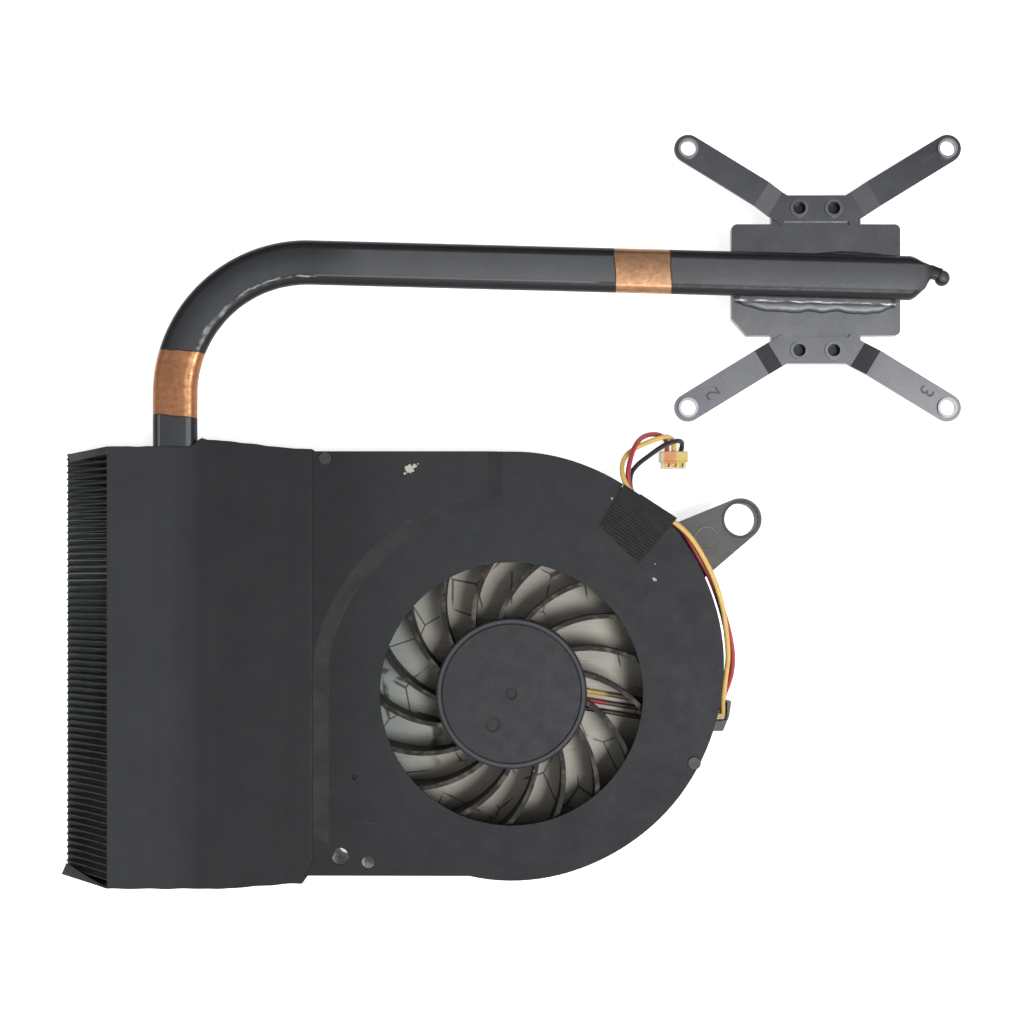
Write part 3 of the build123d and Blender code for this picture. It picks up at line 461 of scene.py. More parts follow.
def make_pipe_paint():
    """Satin black paint with a painted sheen on the flat top and painted highlights along the inside of the
    bend, with two bands of unpainted copper.
    """
    finish, shader, place = begin_finish("pipe_paint", specular=0.35)
    x, y, z = axes(place)

    # Distance outwards from the pipe's middle line, on the leg, round the bend and along the run
    bend_out = minus(radius_from(place, pipe_bend_x, pipe_bend_y), pipe_bend_radius * MM)
    lean = times(minus(x, run_end_x * MM), -math.tan(run_angle))
    run_out = plus(minus(y, run_end_y * MM), lean)
    leg_out = minus(pipe_x * MM, x)
    outward = blend_values(bend_out, leg_out, short_of(y, pipe_bend_y, 0.3))
    outward = blend_values(outward, run_out, past(x, pipe_bend_x, 0.3))

    # Painted sheen: the flat top is painted grey as if it shone, less so round the bend and on the stub
    # between the film and the copper, with painted shade on the bend's outer half
    stub_top_y = 49.3
    in_bend = times(short_of(x, pipe_bend_x + 6, 9), past(y, 50, 6))
    outer_half = times(in_bend, past(outward, 0.4, 2.4))
    on_flat = times(between(outward, -2.3, 2.2, 0.35), past(z, 12.0, 0.3))
    grey = lay(shade(79, 80, 83), shade(56, 58, 61), in_bend)
    grey = lay(grey, shade(42, 44, 47), outer_half)
    grey = lay(grey, shade(52, 54, 57), between(y, 30, stub_top_y, 0.4))
    black = lay(shade(26, 27, 29), grey, on_flat)
    black = toned(black, place, (120.0, 0.92, 1.08), (2200.0, 0.94, 1.06))

    # Painted highlights on the creases along the inner edge, and painted highlight lines along the run and
    # the stub
    inner_edge = plus(outward, wander(place, 380.0, 0.9))
    patchy = spread(fine_grain(place, 520.0, 3.0), 0.36, 0.62)
    turned = times(between(x, -57, -34, 1.5), between(y, 60.3, 76, 0.5))
    crease_glint = times(between(inner_edge, -2.75, -2.5, 0.14), turned)
    near_band = times(between(y, 55, 68, 3), turned)
    shoulder_glint = times(between(inner_edge, -3.0, -2.3, 0.25), near_band)
    crease_glint = times(either(crease_glint, times(shoulder_glint, 0.8)), patchy)
    black = lay(black, shade(165, 174, 176), times(crease_glint, 0.85))
    ridge = times(between(outward, -2.6, -2.3, 0.12), between(x, -34.5, 15, 2))
    black = lay(black, shade(112, 115, 118), times(ridge, 0.6))
    outer_line = between(outward, 2.3, 2.75, 0.15)
    inner_line = between(outward, -3.0, -2.2, 0.25)
    on_stub = times(between(y, 30, stub_top_y, 0.3), 0.7)
    stub_lines = times(either(outer_line, inner_line), on_stub)
    black = lay(black, shade(104, 107, 110), stub_lines)
    black = dusted(black, place, shade(140, 141, 143), 200.0, 0.05, 0.14)

    # Copper, paler on the run, with a painted highlight on the inside of the first band
    on_run = past(x, -20, 1)
    on_leg = short_of(x, -50, 0.1)
    copper = lay(shade(163, 113, 81), shade(171, 131, 99), on_run)
    copper = toned(copper, place, (240.0, 0.85, 1.12), (1300.0, 0.8, 1.18))
    streak = times(between(outward, -3.0, -1.9, 0.45), between(y, 46.5, 62, 3.5))
    grains = spread(fine_grain(place, 1100.0, 3.0), 0.3, 0.7)
    copper = lay(copper, shade(236, 186, 128), times(streak, times(grains, 0.8)))

    # The two bands, each with a thin dark rim
    edge = wander(place, 420.0, 0.5)
    upright = plus(plus(y, edge), times(x, 0.08))
    level = plus(plus(x, edge), times(y, 0.05))
    bands = []
    for margin in (0.2, 0.0):
        leg_band = between(upright, 44.1 - margin, 55.5 + margin, 0.12)
        run_band = between(level, 21.9 - margin, 31.6 + margin, 0.12)
        bands.append(either(times(leg_band, on_leg), times(run_band, on_run)))
    rim, band = bands
    black = lay(black, shade(30, 26, 24), rim)
    gloss = uneven(place, 350.0, 0.36, 0.48)
    coat(shader, lay(black, copper, band), blend_values(gloss, 0.4, band))
    join(times(band, 0.8), shader.inputs["Metallic"])
    emboss(shader, fine_grain(place, 900.0), 0.03)
    return finish


def make_fin_metal():
    """Sheet fins, black along their slanted edge, with painted light on the faces between them and painted
    shade on the edge line.
    """
    finish, shader, place = begin_finish("fin_metal", 0.1, specular=0.1)
    x, y, z = axes(place)
    lean = times(minus(x, fin_top_front_x * MM), fin_slant)
    edge_z = sums("MINIMUM", plus(lean, top_z * MM), top_z * MM)
    depth = minus(edge_z, z)
    # Painted light: the faces between the fins are paler with depth, and paler still towards the low end
    # and towards the film, standing in for light that reaches between them
    narrow_line_and_lit_depth = spread(depth, 0.4 * MM, 6 * MM, 0.1, 1.0)
    narrow_line_and_lit_depth = times(narrow_line_and_lit_depth, between(y, -33.4, 42.5, 0.2))
    to_low_end = spread(y, 25 * MM, -15 * MM)
    to_film = spread(x, -80 * MM, -73 * MM, 0.15, 1.0)
    bare_and_lit = lay(shade(110, 116, 119), shade(196, 202, 205), times(to_low_end, to_film))
    colour = lay(shade(40, 43, 46), bare_and_lit, narrow_line_and_lit_depth)
    # Painted shade on the slanted edge line itself
    colour = lay(colour, shade(15, 16, 18), short_of(depth, 0.3, 0.2))
    colour = toned(colour, place, (150.0, 0.85, 1.12))
    rubbed = stretched(place, 0.0, (300, 3000, 3000))
    colour = toned(colour, rubbed, (1.0, 0.88, 1.12))
    coat(shader, colour, uneven(place, 600.0, 0.45, 0.6))
    return finish


def make_frame_plastic():
    """Moulded plastic with the ear's mark and dark stakes, painted shade on the wall of the ear's hole and
    painted light on the walls of the corner's holes.
    """
    finish, shader, place = begin_finish("frame_plastic", specular=0.4)
    _, y, z = axes(place)
    colour = toned(shade(79, 78, 77), place, (110.0, 0.9, 1.1))
    ring = between(radius_from(place, *ear_mark), 1.95, 2.25, 0.12)
    ring = times(ring, between(z, 8.0, 9.0, 0.1))
    colour = lay(colour, shade(118, 117, 116), times(ring, 0.7))
    # Painted shade on the wall of the ear's hole
    ear_wall = short_of(radius_from(place, *ear_hole), 3.42, 0.16)
    colour = lay(colour, shade(44, 44, 44), ear_wall)
    colour = lay(colour, shade(46, 49, 52), past(z, cover_z + 0.05, 0.1))
    # Painted light: the walls of the corner's holes are painted near white, standing in for light seen in
    # them
    screw_wall = short_of(radius_from(place, *screw_hole), 1.62, 0.05)
    screw_wall = times(screw_wall, short_of(y, -28.8, 0.3))
    pin_wall = short_of(radius_from(place, *pin_hole), 1.2, 0.05)
    lit_hole_walls = times(either(screw_wall, pin_wall), between(z, 4.5, 11.1, 0.2))
    colour = lay(colour, shade(240, 245, 245), lit_hole_walls)
    coat(shader, colour, uneven(place, 500.0, 0.42, 0.56))
    emboss(shader, plus(fine_grain(place, 2500.0), times(ring, 1.5)), 0.03)
    return finish


def make_floor_metal():
    """Bare brushed sheet with a painted blue-green light at the left and a broken net of fine dark lines.
    """
    finish, shader, place = begin_finish("floor_metal", 0.3)
    x, _, _ = axes(place)
    colour = toned(shade(163, 158, 148), place, (130.0, 0.8, 1.12))
    brushed = stretched(place, math.radians(20), (250, 4000, 400))
    colour = toned(colour, brushed, (1.0, 0.92, 1.06))
    # Painted light: a blue-green tint towards the left
    cool = spread(x, -13 * MM, -24 * MM, 0.0, 0.7)
    colour = lay(colour, shade(122, 140, 140), cool)
    # A broken net of fine dark lines
    plates = {"Vector": place, "Scale": 125.0}
    gap = put("ShaderNodeTexVoronoi", plates, feature="DISTANCE_TO_EDGE").outputs["Distance"]
    broken = spread(fine_grain(place, 150.0), 0.47, 0.53)
    dark_line_net = times(spread(gap, 0.022, 0.01), times(broken, 0.85))
    colour = lay(colour, shade(38, 34, 30), dark_line_net)
    coat(shader, colour, uneven(place, 260.0, 0.44, 0.58))
    emboss(shader, fine_grain(brushed, 1.0), 0.02)
    return finish


def make_impeller_plastic():
    """Dark blades with dust and a cleaner hub with a grooved rim and two dimples, with a painted sheen on
    the rim's band, painted shade in its groove and the dimples, and three small pale spots.
    """
    finish, shader, place = begin_finish("impeller_plastic", specular=0.22)
    _, _, z = axes(place)
    reach = radius_from(place, 0, 0)
    hub = times(short_of(reach, 13.4, 0.1), past(z, 10.0, 0.3))
    blade = toned(shade(23, 21, 20), place, (160.0, 0.8, 1.2))
    dust = spread(fine_grain(place, 420.0, 4.0), 0.5, 0.75)
    blade = lay(blade, shade(112, 104, 92), times(dust, 0.75))
    moulded = toned(shade(47, 48, 51), place, (140.0, 0.97, 1.03))
    # Painted sheen on the rim's band and painted shade in the groove inside it
    moulded = lay(moulded, shade(66, 67, 71), between(reach, 12.45, 12.95, 0.12))
    moulded = lay(moulded, shade(24, 24, 26), between(reach, 12.12, 12.4, 0.12))
    # Painted shade in the two dimples
    for dimple_x, dimple_y, radius in ((0.0, 0.0, 1.0), (-3.2, -5.5, 1.3)):
        pit = between(radius_from(place, dimple_x, dimple_y), radius - 0.35, radius + 0.1, 0.3)
        moulded = lay(moulded, shade(30, 30, 32), times(pit, 0.7))
    # Three small pale spots; the one beside the second dimple is a painted highlight on its rim
    for pale_x, pale_y in ((-2.4, 3.9), (4.25, -8.2), (-4.0, -6.3)):
        centre = (pale_x, pale_y, hub_top_z)
        moulded = spotted(moulded, place, shade(170, 170, 172), centre, 0.1, 0.2)
    colour = lay(blade, moulded, hub)
    colour = dusted(colour, place, shade(128, 124, 120), 260.0, 0.07, 0.1)
    coat(shader, colour, uneven(place, 420.0, 0.42, 0.58))
    emboss(shader, fine_grain(place, 2400.0), 0.02)
    return finish


def make_lead_skin(name, colour, worn_and_lit):
    """Insulation of a lead, darker where it lies under the blades, with dust and painted shade."""
    finish, shader, place = begin_finish(name)
    x, y, _ = axes(place)
    skin = toned(colour, place, (300.0, 0.88, 1.1))
    skin = lay(skin, worn_and_lit, times(fine_grain(place, 900.0, 3.0), 0.25))
    # Dust and painted shade where the lead lies under the blades
    dust_and_shade = times(between(x, 17.2, 34, 1.2), between(y, -9, 0.5, 0.5))
    skin = lay(skin, shade(84, 77, 68), times(dust_and_shade, 0.9))
    coat(shader, skin, uneven(place, 700.0, 0.35, 0.5))
    emboss(shader, fine_grain(place, 1800.0), 0.015)
    return finish


def make_plug_plastic():
    """Cream plastic that lets the leads' colours show through."""
    finish, shader, place = begin_finish("plug_plastic")
    x, y, _ = axes(place)
    colour = toned(shade(226, 214, 180), place, (320.0, 0.9, 1.06))
    inside = times(between(y, 40.75, 43.3, 0.5), between(x, 27.6, 32.0, 0.6))
    stain = lay(shade(206, 128, 52), shade(226, 190, 88), past(x, 29.9, 0.8))
    stain = toned(stain, place, (520.0, 0.8, 1.15))
    colour = lay(colour, stain, times(inside, 0.85))
    coat(shader, colour, uneven(place, 700.0, 0.34, 0.48))
    shader.inputs["Subsurface Weight"].default_value = 0.15
    shader.inputs["Subsurface Radius"].default_value = (0.0012, 0.0008, 0.0004)
    emboss(shader, fine_grain(place, 1500.0), 0.02)
    return finish


def make_tape_cloth():
    """Ribbed cloth, plainer where it turns down over the rim."""
    finish, shader, place = begin_finish("tape_cloth", specular=0.25)
    turned = stretched(place, -channel_turn, (1, 1, 1))
    weave = {"Vector": turned, "Scale": 570.0, "Distortion": 0.6, "Detail": 1.0}
    ribs = put("ShaderNodeTexWave", weave, bands_direction="X").outputs["Fac"]
    x, y, _ = axes(place)
    out_x = times(x, channel_cos)
    outward = plus(out_x, times(y, channel_sin))
    colour = lay(shade(21, 21, 23), shade(47, 47, 49), ribs)
    colour = lay(colour, shade(36, 36, 38), times(past(outward, 38.3, 1.2), 0.8))
    colour = toned(colour, place, (260.0, 0.85, 1.15))
    coat(shader, colour, uneven(place, 900.0, 0.62, 0.8))
    shader.inputs["Sheen Weight"].default_value = 0.15
    emboss(shader, ribs, 0.04)
    return finish


def make_satin_steel(name, colour, worn_and_lit, low, high, metallic):
    """Satin paint on steel, with painted light that makes it lighter below the pipe."""
    finish, shader, place = begin_finish(name, metallic)
    _, y, _ = axes(place)
    # Painted light: lighter below the pipe
    colour = lay(colour, worn_and_lit, between(y, 50, 70.5, 2.5))
    colour = toned(colour, place, (120.0, 0.9, 1.08), (2000.0, 0.94, 1.06))
    colour = dusted(colour, place, shade(150, 150, 152), 230.0, 0.05, 0.1)
    coat(shader, colour, uneven(place, 300.0, low, high))
    return finish


def make_bracket_steel(name, colour, far_colour):
    """Dark spring steel, unpainted on the rolled collars, with painted light: another tone on the far arm.
    """
    finish, shader, place = begin_finish(name, 0.85)
    x, _, z = axes(place)
    # Painted light: the far arm takes its own tone
    colour = lay(colour, far_colour, past(x, 65, 4))
    colour = toned(colour, place, (130.0, 0.94, 1.05), (2100.0, 0.93, 1.07))
    colour = lay(colour, shade(160, 161, 164), past(z, arm_top_z + 0.08, 0.06))
    coat(shader, colour, uneven(place, 300.0, 0.31, 0.37))
    return finish


def make_rivet_steel():
    """Rolled steel, with painted shade down in the rivets' holes."""
    finish, shader, place = begin_finish("rivet_steel", 0.85)
    _, _, z = axes(place)
    colour = toned(shade(112, 113, 117), place, (260.0, 0.88, 1.1))
    # Painted shade down in the holes
    colour = lay(colour, shade(52, 54, 58), between(z, 0, 9.95, 0.2))
    coat(shader, colour, uneven(place, 400.0, 0.28, 0.4))
    return finish


def make_solder_tin():
    """Dull solder with a broken painted highlight along the seam beside the pipe and painted shade in the
    groove beyond it.
    """
    finish, shader, place = begin_finish("solder_tin", 0.85)
    x, y, _ = axes(place)
    colour = toned(shade(94, 95, 98), place, (300.0, 0.9, 1.08))
    lean = times(minus(x, plate_x * MM), math.tan(-run_angle))
    across = plus(minus(y, pipe_plate_y * MM), lean)
    across = plus(across, wander(place, 420.0, 0.7))
    # Painted shade in the groove, and a broken painted highlight along the seam
    groove = between(across, -4.95, -4.6, 0.1)
    seam = between(across, -4.55, -4.3, 0.1)
    patchy = spread(fine_grain(place, 330.0), 0.4, 0.65)
    colour = lay(colour, shade(58, 59, 62), times(groove, 0.7))
    colour = lay(colour, shade(200, 201, 203), times(seam, patchy))
    coat(shader, colour, uneven(place, 500.0, 0.4, 0.5))
    return finish


def make_metal(name, colour, low, high, grain_scale):
    """Plain worked metal with grain along Y."""
    finish, shader, place = begin_finish(name, 1.0)
    colour = toned(colour, place, (260.0, 0.85, 1.1))
    worked = stretched(place, 0.0, (grain_scale, grain_scale * 0.2, grain_scale))
    colour = toned(colour, worked, (1.0, 0.9, 1.1))
    coat(shader, colour, uneven(place, 700.0, low, high))
    emboss(shader, fine_grain(worked, 1.0), 0.01)
    return finish


def make_inner(name, colour, roughness, scale):
    """Plain pressed or moulded stuff inside the motor."""
    finish, shader, place = begin_finish(name)
    colour = toned(colour, place, (200.0, 0.85, 1.12), (scale, 0.88, 1.1))
    coat(shader, colour, uneven(place, 600.0, roughness - 0.08, roughness + 0.08))
    emboss(shader, fine_grain(place, scale), 0.02)
    return finish


def make_striped(name, dark, light, pitch, metallic):
    """Laminated sheets or wound wire: level stripes of the given pitch in millimetres."""
    finish, shader, place = begin_finish(name, metallic)
    wave_length = 0.314  # in metres, of the texture at scale 1
    bands = {"Vector": place, "Scale": wave_length / (pitch * MM), "Distortion": 0.3}
    stripes = put("ShaderNodeTexWave", bands, bands_direction="Z").outputs["Fac"]
    colour = toned(lay(dark, light, stripes), place, (300.0, 0.88, 1.1))
    coat(shader, colour, uneven(place, 600.0, 0.32, 0.48))
    emboss(shader, stripes, 0.05)
    return finish


def make_board_green():
    """Solder mask with three round tracks under it."""
    finish, shader, place = begin_finish("board_green")
    colour = toned(shade(30, 84, 52), place, (250.0, 0.88, 1.1))
    reach = radius_from(place, 0, 0)
    for track in (5.6, 7.2, 8.8):
        colour = lay(colour, shade(52, 118, 74), between(reach, track, track + 0.5, 0.05))
    coat(shader, colour, uneven(place, 500.0, 0.3, 0.42))
    return finish


cover_paint = make_cover_paint()
film_black = make_film_black()
pipe_paint = make_pipe_paint()
tape_cloth = make_tape_cloth()
solder_tin = make_solder_tin()
lead_yellow_skin = make_lead_skin("lead_yellow_skin", shade(226, 190, 108), shade(196, 160, 84))
lead_red_skin = make_lead_skin("lead_red_skin", shade(172, 62, 66), shade(140, 44, 46))
lead_black_skin = make_lead_skin("lead_black_skin", shade(38, 37, 36), shade(62, 60, 58))
plate_paint = make_satin_steel("plate_paint", shade(99, 100, 103), shade(117, 118, 120), 0.26, 0.32, 0.85)
digit_ink = make_satin_steel("digit_ink", shade(70, 71, 74), shade(76, 77, 80), 0.45, 0.6, 0.4)

give("fan_cover", cover_paint)
give("fin_stack", make_fin_metal())
give("fan_frame", make_frame_plastic())
give("fan_floor", make_floor_metal())
give("impeller", make_impeller_plastic())
give("connector_housing", make_plug_plastic())
give("connector_terminals", make_metal("terminal_brass", shade(176, 144, 84), 0.35, 0.5, 1500.0))
give("cpu_plate", plate_paint)
# Painted light: the lower bracket is painted lighter than the upper one, its far arm lighter still, while
# the upper's far arm is darker
give("upper_bracket", make_bracket_steel("upper_steel", shade(94, 95, 100), shade(87, 88, 93)))
give("lower_bracket", make_bracket_steel("lower_steel", shade(108, 109, 113), shade(119, 120, 123)))
give("bracket_rivets", make_rivet_steel())
give("rotor_yoke", make_metal("yoke_steel", shade(150, 152, 156), 0.3, 0.42, 1200.0))
give("magnet_ring", make_inner("magnet_ferrite", shade(48, 46, 45), 0.6, 1500.0))
give("rotor_shaft", make_metal("shaft_steel", shade(196, 198, 202), 0.15, 0.25, 2500.0))
give("bearing_tube", make_metal("tube_brass", shade(196, 162, 96), 0.28, 0.4, 1500.0))
give("thrust_pad", make_inner("pad_plastic", shade(222, 220, 212), 0.5, 1200.0))
give("sleeve_bearing", make_metal("bearing_bronze", shade(168, 122, 78), 0.4, 0.55, 2200.0))
give("stator_core", make_striped("core_steel", shade(92, 94, 98), shade(150, 152, 156), 0.35, 0.9))
give("stator_coils", make_striped("coil_copper", shade(120, 62, 34), shade(198, 118, 70), 0.22, 0.8))
give("motor_board", make_board_green())
give("driver_chip", make_inner("chip_black", shade(32, 32, 34), 0.55, 2600.0))


# Leads
lead_radius = 0.45


def draw_lead(name, route, skin):
    """A lead along its route, a smooth line with the route's points."""
    line = bpy.data.curves.new(name, "CURVE")
    line.dimensions = "3D"
    line.resolution_u = 6
    line.bevel_depth = lead_radius * MM
    line.bevel_resolution = 3
    line.use_fill_caps = True
    run = line.splines.new("NURBS")
    run.points.add(len(route) - 1)
    for point, (x, y, z) in zip(run.points, route):
        point.co = (x * MM, y * MM, z * MM, 1)
    run.order_u = 3
    run.use_endpoint_u = True
    lead = bpy.data.objects.new(name, line)
    bpy.context.scene.collection.objects.link(lead)
    lead.data.materials.append(skin)
    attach(lead, "base")
    return lead


black_route = [
    (38.3, -2.3, 1.5),
    (38.35, -1.2, 1.6),
    (39.0, 1.0, 2.5),
    (39.4, 3.6, 3.9),
    (39.3, 6.8, 5.5),
    (38.4, 10.9, 7.1),
    (37.1, 15.6, 8.3),
    (35.2, 20.5, 9.05),
    (32.6, 25.4, 9.38),
    (30.4, 29.0, 9.39),
    (25.7, 31.95, 9.37),
    (21.2, 34.9, 9.36),
    (20.9, 38.6, 9.0),
    (22.4, 40.6, 7.9),
    (24.7, 42.3, 6.6),
    (26.7, 43.8, 5.4),
    (28.8, 44.9, 4.5),
    (30.6, 45.3, 3.5),
    (31.2, 44.6, 2.2),
    (30.85, 43.4, 1.3),
]
red_route = [
    (38.3, -2.3, 2.7),
    (38.4, -1.2, 2.85),
    (39.2, 1.0, 3.9),
    (39.7, 3.6, 5.3),
    (39.65, 6.8, 6.8),
    (38.7, 10.9, 8.3),
    (37.2, 15.6, 9.4),
    (35.1, 20.5, 10.05),
    (32.3, 25.2, 10.35),
    (30.3, 28.9, 10.36),
    (25.7, 31.95, 10.34),
    (21.1, 35.0, 10.33),
    (20.4, 38.3, 10.45),
    (20.9, 41.1, 10.1),
    (21.8, 43.8, 9.0),
    (23.3, 45.6, 6.6),
    (25.5, 46.4, 4.6),
    (27.5, 46.1, 3.0),
    (28.4, 45.0, 1.8),
    (28.35, 43.4, 1.3),
]
yellow_route = [
    (38.3, -2.3, 3.9),
    (38.3, -1.2, 4.0),
    (38.35, 1.0, 5.1),
    (38.45, 3.6, 6.7),
    (38.6, 6.6, 8.2),
    (38.0, 10.9, 9.6),
    (37.2, 15.6, 10.6),
    (35.55, 20.6, 11.1),
    (32.9, 25.6, 11.33),
    (30.4, 29.0, 11.32),
    (25.7, 31.95, 11.31),
    (21.0, 35.1, 11.3),
    (19.4, 38.4, 10.9),
    (19.6, 41.0, 9.4),
    (20.9, 42.9, 7.8),
    (23.6, 44.3, 6.9),
    (26.2, 45.4, 5.8),
    (28.3, 46.0, 4.3),
    (29.6, 45.3, 2.4),
    (29.6, 43.4, 1.3),
]
for colour, route, skin, length in (
    ("black", black_route, lead_black_skin, 66.2),
    ("red", red_route, lead_red_skin, 67.8),
    ("yellow", yellow_route, lead_yellow_skin, 69.1),
):
    lead = draw_lead("lead_" + colour, route, skin)
    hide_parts("wire_" + colour)

# Held stretch of each lead: along the floor, up behind the wall and round to the hook
held_z = 1.3
slot_y = -4.5
for colour, side, route, skin in (
    ("black", -3.2, black_route, lead_black_skin),
    ("red", -1.6, red_route, lead_red_skin),
    ("yellow", 0.0, yellow_route, lead_yellow_skin),
):
    hook_x, hook_y, height = route[0]
    fan_y = side - 2.9
    held_route = [
        (12.35, side, held_z),
        (20.0, side - 1.26, held_z),
        (28.5, side - 2.65, held_z),
        (30.0, fan_y, held_z),
        (31.2, fan_y + 0.3 * (slot_y - fan_y), held_z + 0.3 * (height - held_z)),
        (33.0, fan_y + 0.75 * (slot_y - fan_y), held_z + 0.75 * (height - held_z)),
        (34.0, slot_y, height),
        (35.2, slot_y, height),
        (37.4, slot_y, height),
        (hook_x, slot_y, height),
        (hook_x, slot_y + 0.9, height),
        (hook_x, hook_y, height),
    ]
    held = draw_lead("held_lead_" + colour, held_route, skin)
    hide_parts("motor_leads")


# Film over the fins, the pipe and the outlet
film_thickness = 0.2
film_foot_y = -33.9
film_length = 77.1
skirt_drops = (3.3, 7.1)
flap_drop = 10.2


def film_low_y(x):
    """Lower edge of the film."""
    return -34.05 + 0.9 * ramp(x, -52, -36.5) + 0.12 * lumps(x, 0, 3.1, 4.0)


def film_high_y(x):
    """Upper edge of the film: it bulges beside the pipe."""
    beside_pipe = 1.15 * ramp(x, -56.5, -54.4) - 1.6 * ramp(x, -54.4, -35)
    nub = 0.35 * hump(x, -54.1, 0.6)
    return 43.4 + beside_pipe + nub + 0.1 * lumps(x, 0, 2.3, 9.0)


def film_right_x(y):
    """Right edge of the film, cut off at a slant at its lower corner."""
    return -34.9 - 1.7 * ramp(-y, 29.3, 33.4) + 0.06 * lumps(0, y, 2.0, 2.0)


def lie_film(u, v, _):
    """Place of a point of the flat film, u and v from -0.5 to 0.5 in its two directions."""
    across, along = u + 0.5, v + 0.5
    y = film_foot_y + along * film_length
    x = fin_top_front_x + across * (film_right_x(y) - fin_top_front_x)
    y = film_low_y(x) + along * (film_high_y(x) - film_low_y(x))
    beside_pipe = 0.04 * hump(x, -62.95, 1.1) + 0.04 * hump(x, -55.35, 1.1)
    over_outlet = 0.07 * ramp(x, -54, -51) * ramp(-x, 37, 40)
    waves = 0.025 * lumps(x, y, 9.0) + 0.008 * lumps(x, y, 1.6, 5.0)
    return (x, y, top_z + film_thickness - beside_pipe - over_outlet + waves)


def down_flap(point):
    """How far down a flap the point lies, from 0 at the film's top to 1 at the flap's tip."""
    return max(0.0, (top_z - point.co.z / MM) / flap_drop)


def over_pipe(face):
    """Faces of the upper skirt where the pipe comes out."""
    centre = face.center / MM
    in_skirt = centre.y > 40 and 9.0 < centre.z < 12 and abs(face.normal.z) < 0.5
    return in_skirt and abs(centre.x - pipe_x) < pipe_width / 2 + 0.25


start_piece()
bpy.ops.mesh.primitive_grid_add(x_subdivisions=80, y_subdivisions=150, size=1 * MM)
film = call_it("film_wrap")
push_points(film, lie_film)
for edge_of, sign in ((film_low_y, -1), (film_high_y, 1)):
    select_points(film, lambda p: abs(p.y - edge_of(p.x)) < 0.02 and p.z > 11)
    for drop in skirt_drops:
        extrude_edges(0, sign * 0.02, -drop)
for side_y, tip_x, tip_y, flap, taper in ((-34.0, -81.9, -33.5, 2.0, 1.0), (43.4, -81.0, 42.8, -1.35, 0.0)):
    select_points(film, lambda p: abs(p.x - fin_top_front_x) < 0.02 and abs(p.y - side_y) < 0.3)
    extrude_edges(-1, 0, 0)
    set_mode("OBJECT")
    for point in film.data.vertices:
        if point.select:
            share = down_flap(point)
            point.co.x = (fin_top_front_x + share * (tip_x - fin_top_front_x)) * MM
            point.co.y += share * (tip_y * MM - point.co.y)
    set_mode("EDIT")
    extrude_edges(0, flap, 0)
    set_mode("OBJECT")
    for point in film.data.vertices:
        if point.select:
            share = down_flap(point)
            point.co.x += 0.9 * share * MM
            point.co.y -= taper * flap * MM * (1 - share)
select_nothing(film)
for face in film.data.polygons:
    face.select = over_pipe(face)
bpy.context.tool_settings.mesh_select_mode = (False, False, True)
set_mode("EDIT")
bpy.ops.mesh.delete(type="FACE")
close_piece(60)
use_modifier(film, "SOLIDIFY", thickness=film_thickness * MM, offset=-1.0)
use_modifier(film, "BEVEL", width=0.09 * MM, segments=2, limit_method="ANGLE", angle_limit=math.radians(55))
bpy.ops.object.shade_smooth_by_angle(angle=math.radians(50))
film.data.materials.append(film_black)
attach(film, "base")
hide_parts("duct_wrap")


# Heat pipe: a flattened tube, bent once and pinched shut at its end
leg_steps = (20.0, 20.0, 20.0, 12.0, 6.0)
tail_reach = 5.95
tail_radius = 1.36


def extrude_pipe(x, y):
    """Carry the open end of the pipe on by a step in millimetres."""
    bpy.ops.mesh.extrude_region_move(TRANSFORM_OT_translate={"value": (x * MM, y * MM, 0)})


start_piece()
bpy.ops.mesh.primitive_circle_add(
    vertices=40,
    radius=pipe_thickness / 2 * MM,
    fill_type="NGON",
    location=(0, 0, 0),
    rotation=(math.radians(90), 0, 0),
)
pipe = call_it("pipe_body")
bpy.ops.object.transform_apply()
flat_half = (pipe_width - pipe_thickness) / 2
for side in (-1, 1):
    select_points(pipe, lambda p: side * p.x > 0.05)
    bpy.ops.transform.translate(value=(side * flat_half * MM, 0, 0))
bpy.ops.mesh.select_all(action="SELECT")
bpy.ops.transform.translate(value=(pipe_x * MM, pipe_start_y * MM, pipe_z * MM))
for step in (*leg_steps, pipe_bend_y - pipe_start_y - sum(leg_steps)):
    extrude_pipe(0, step)
bpy.ops.mesh.spin(
    steps=56,
    angle=pipe_turn,
    center=(pipe_bend_x * MM, pipe_bend_y * MM, 0),
    axis=(0, 0, 1),
)
bend_end_x = pipe_bend_x + pipe_bend_radius * math.sin(pipe_turn - math.radians(90))
run_length = (run_end_x - bend_end_x) / run_cos
for share in (0.1, 0.2, 0.2, 0.2, 0.15, 0.1, 0.05):
    extrude_pipe(share * run_length * run_cos, share * run_length * run_sin)
# Steps of the pinched tail: length, share of the width kept, shift aside, share of the height kept
tail_steps = (
    (0.5, 0.985, 0.0, 0.99),
    (0.7, 0.92, 0.05, 0.97),
    (0.7, 0.86, 0.12, 0.94),
    (0.6, 0.85, 0.15, 0.93),
    (0.5, 0.88, 0.13, 0.93),
    (0.4, 0.78, 0.3, 0.93),
    (0.4, 0.76, 0.3, 0.95),
    (0.35, 0.9, 0.12, 0.96),
    (0.8, 0.95, -0.27, 0.98),
    (0.8, 0.97, -0.18, 0.98),
)
tail_x, tail_y = run_end_x, run_end_y
for step, narrower, aside, thinner in tail_steps:
    move_x = step * run_cos - aside * run_sin
    move_y = step * run_sin + aside * run_cos
    extrude_pipe(move_x, move_y)
    tail_x += move_x
    tail_y += move_y
    bpy.ops.transform.resize(
        value=(1, narrower, thinner),
        center_override=(tail_x * MM, tail_y * MM, pipe_z * MM),
    )


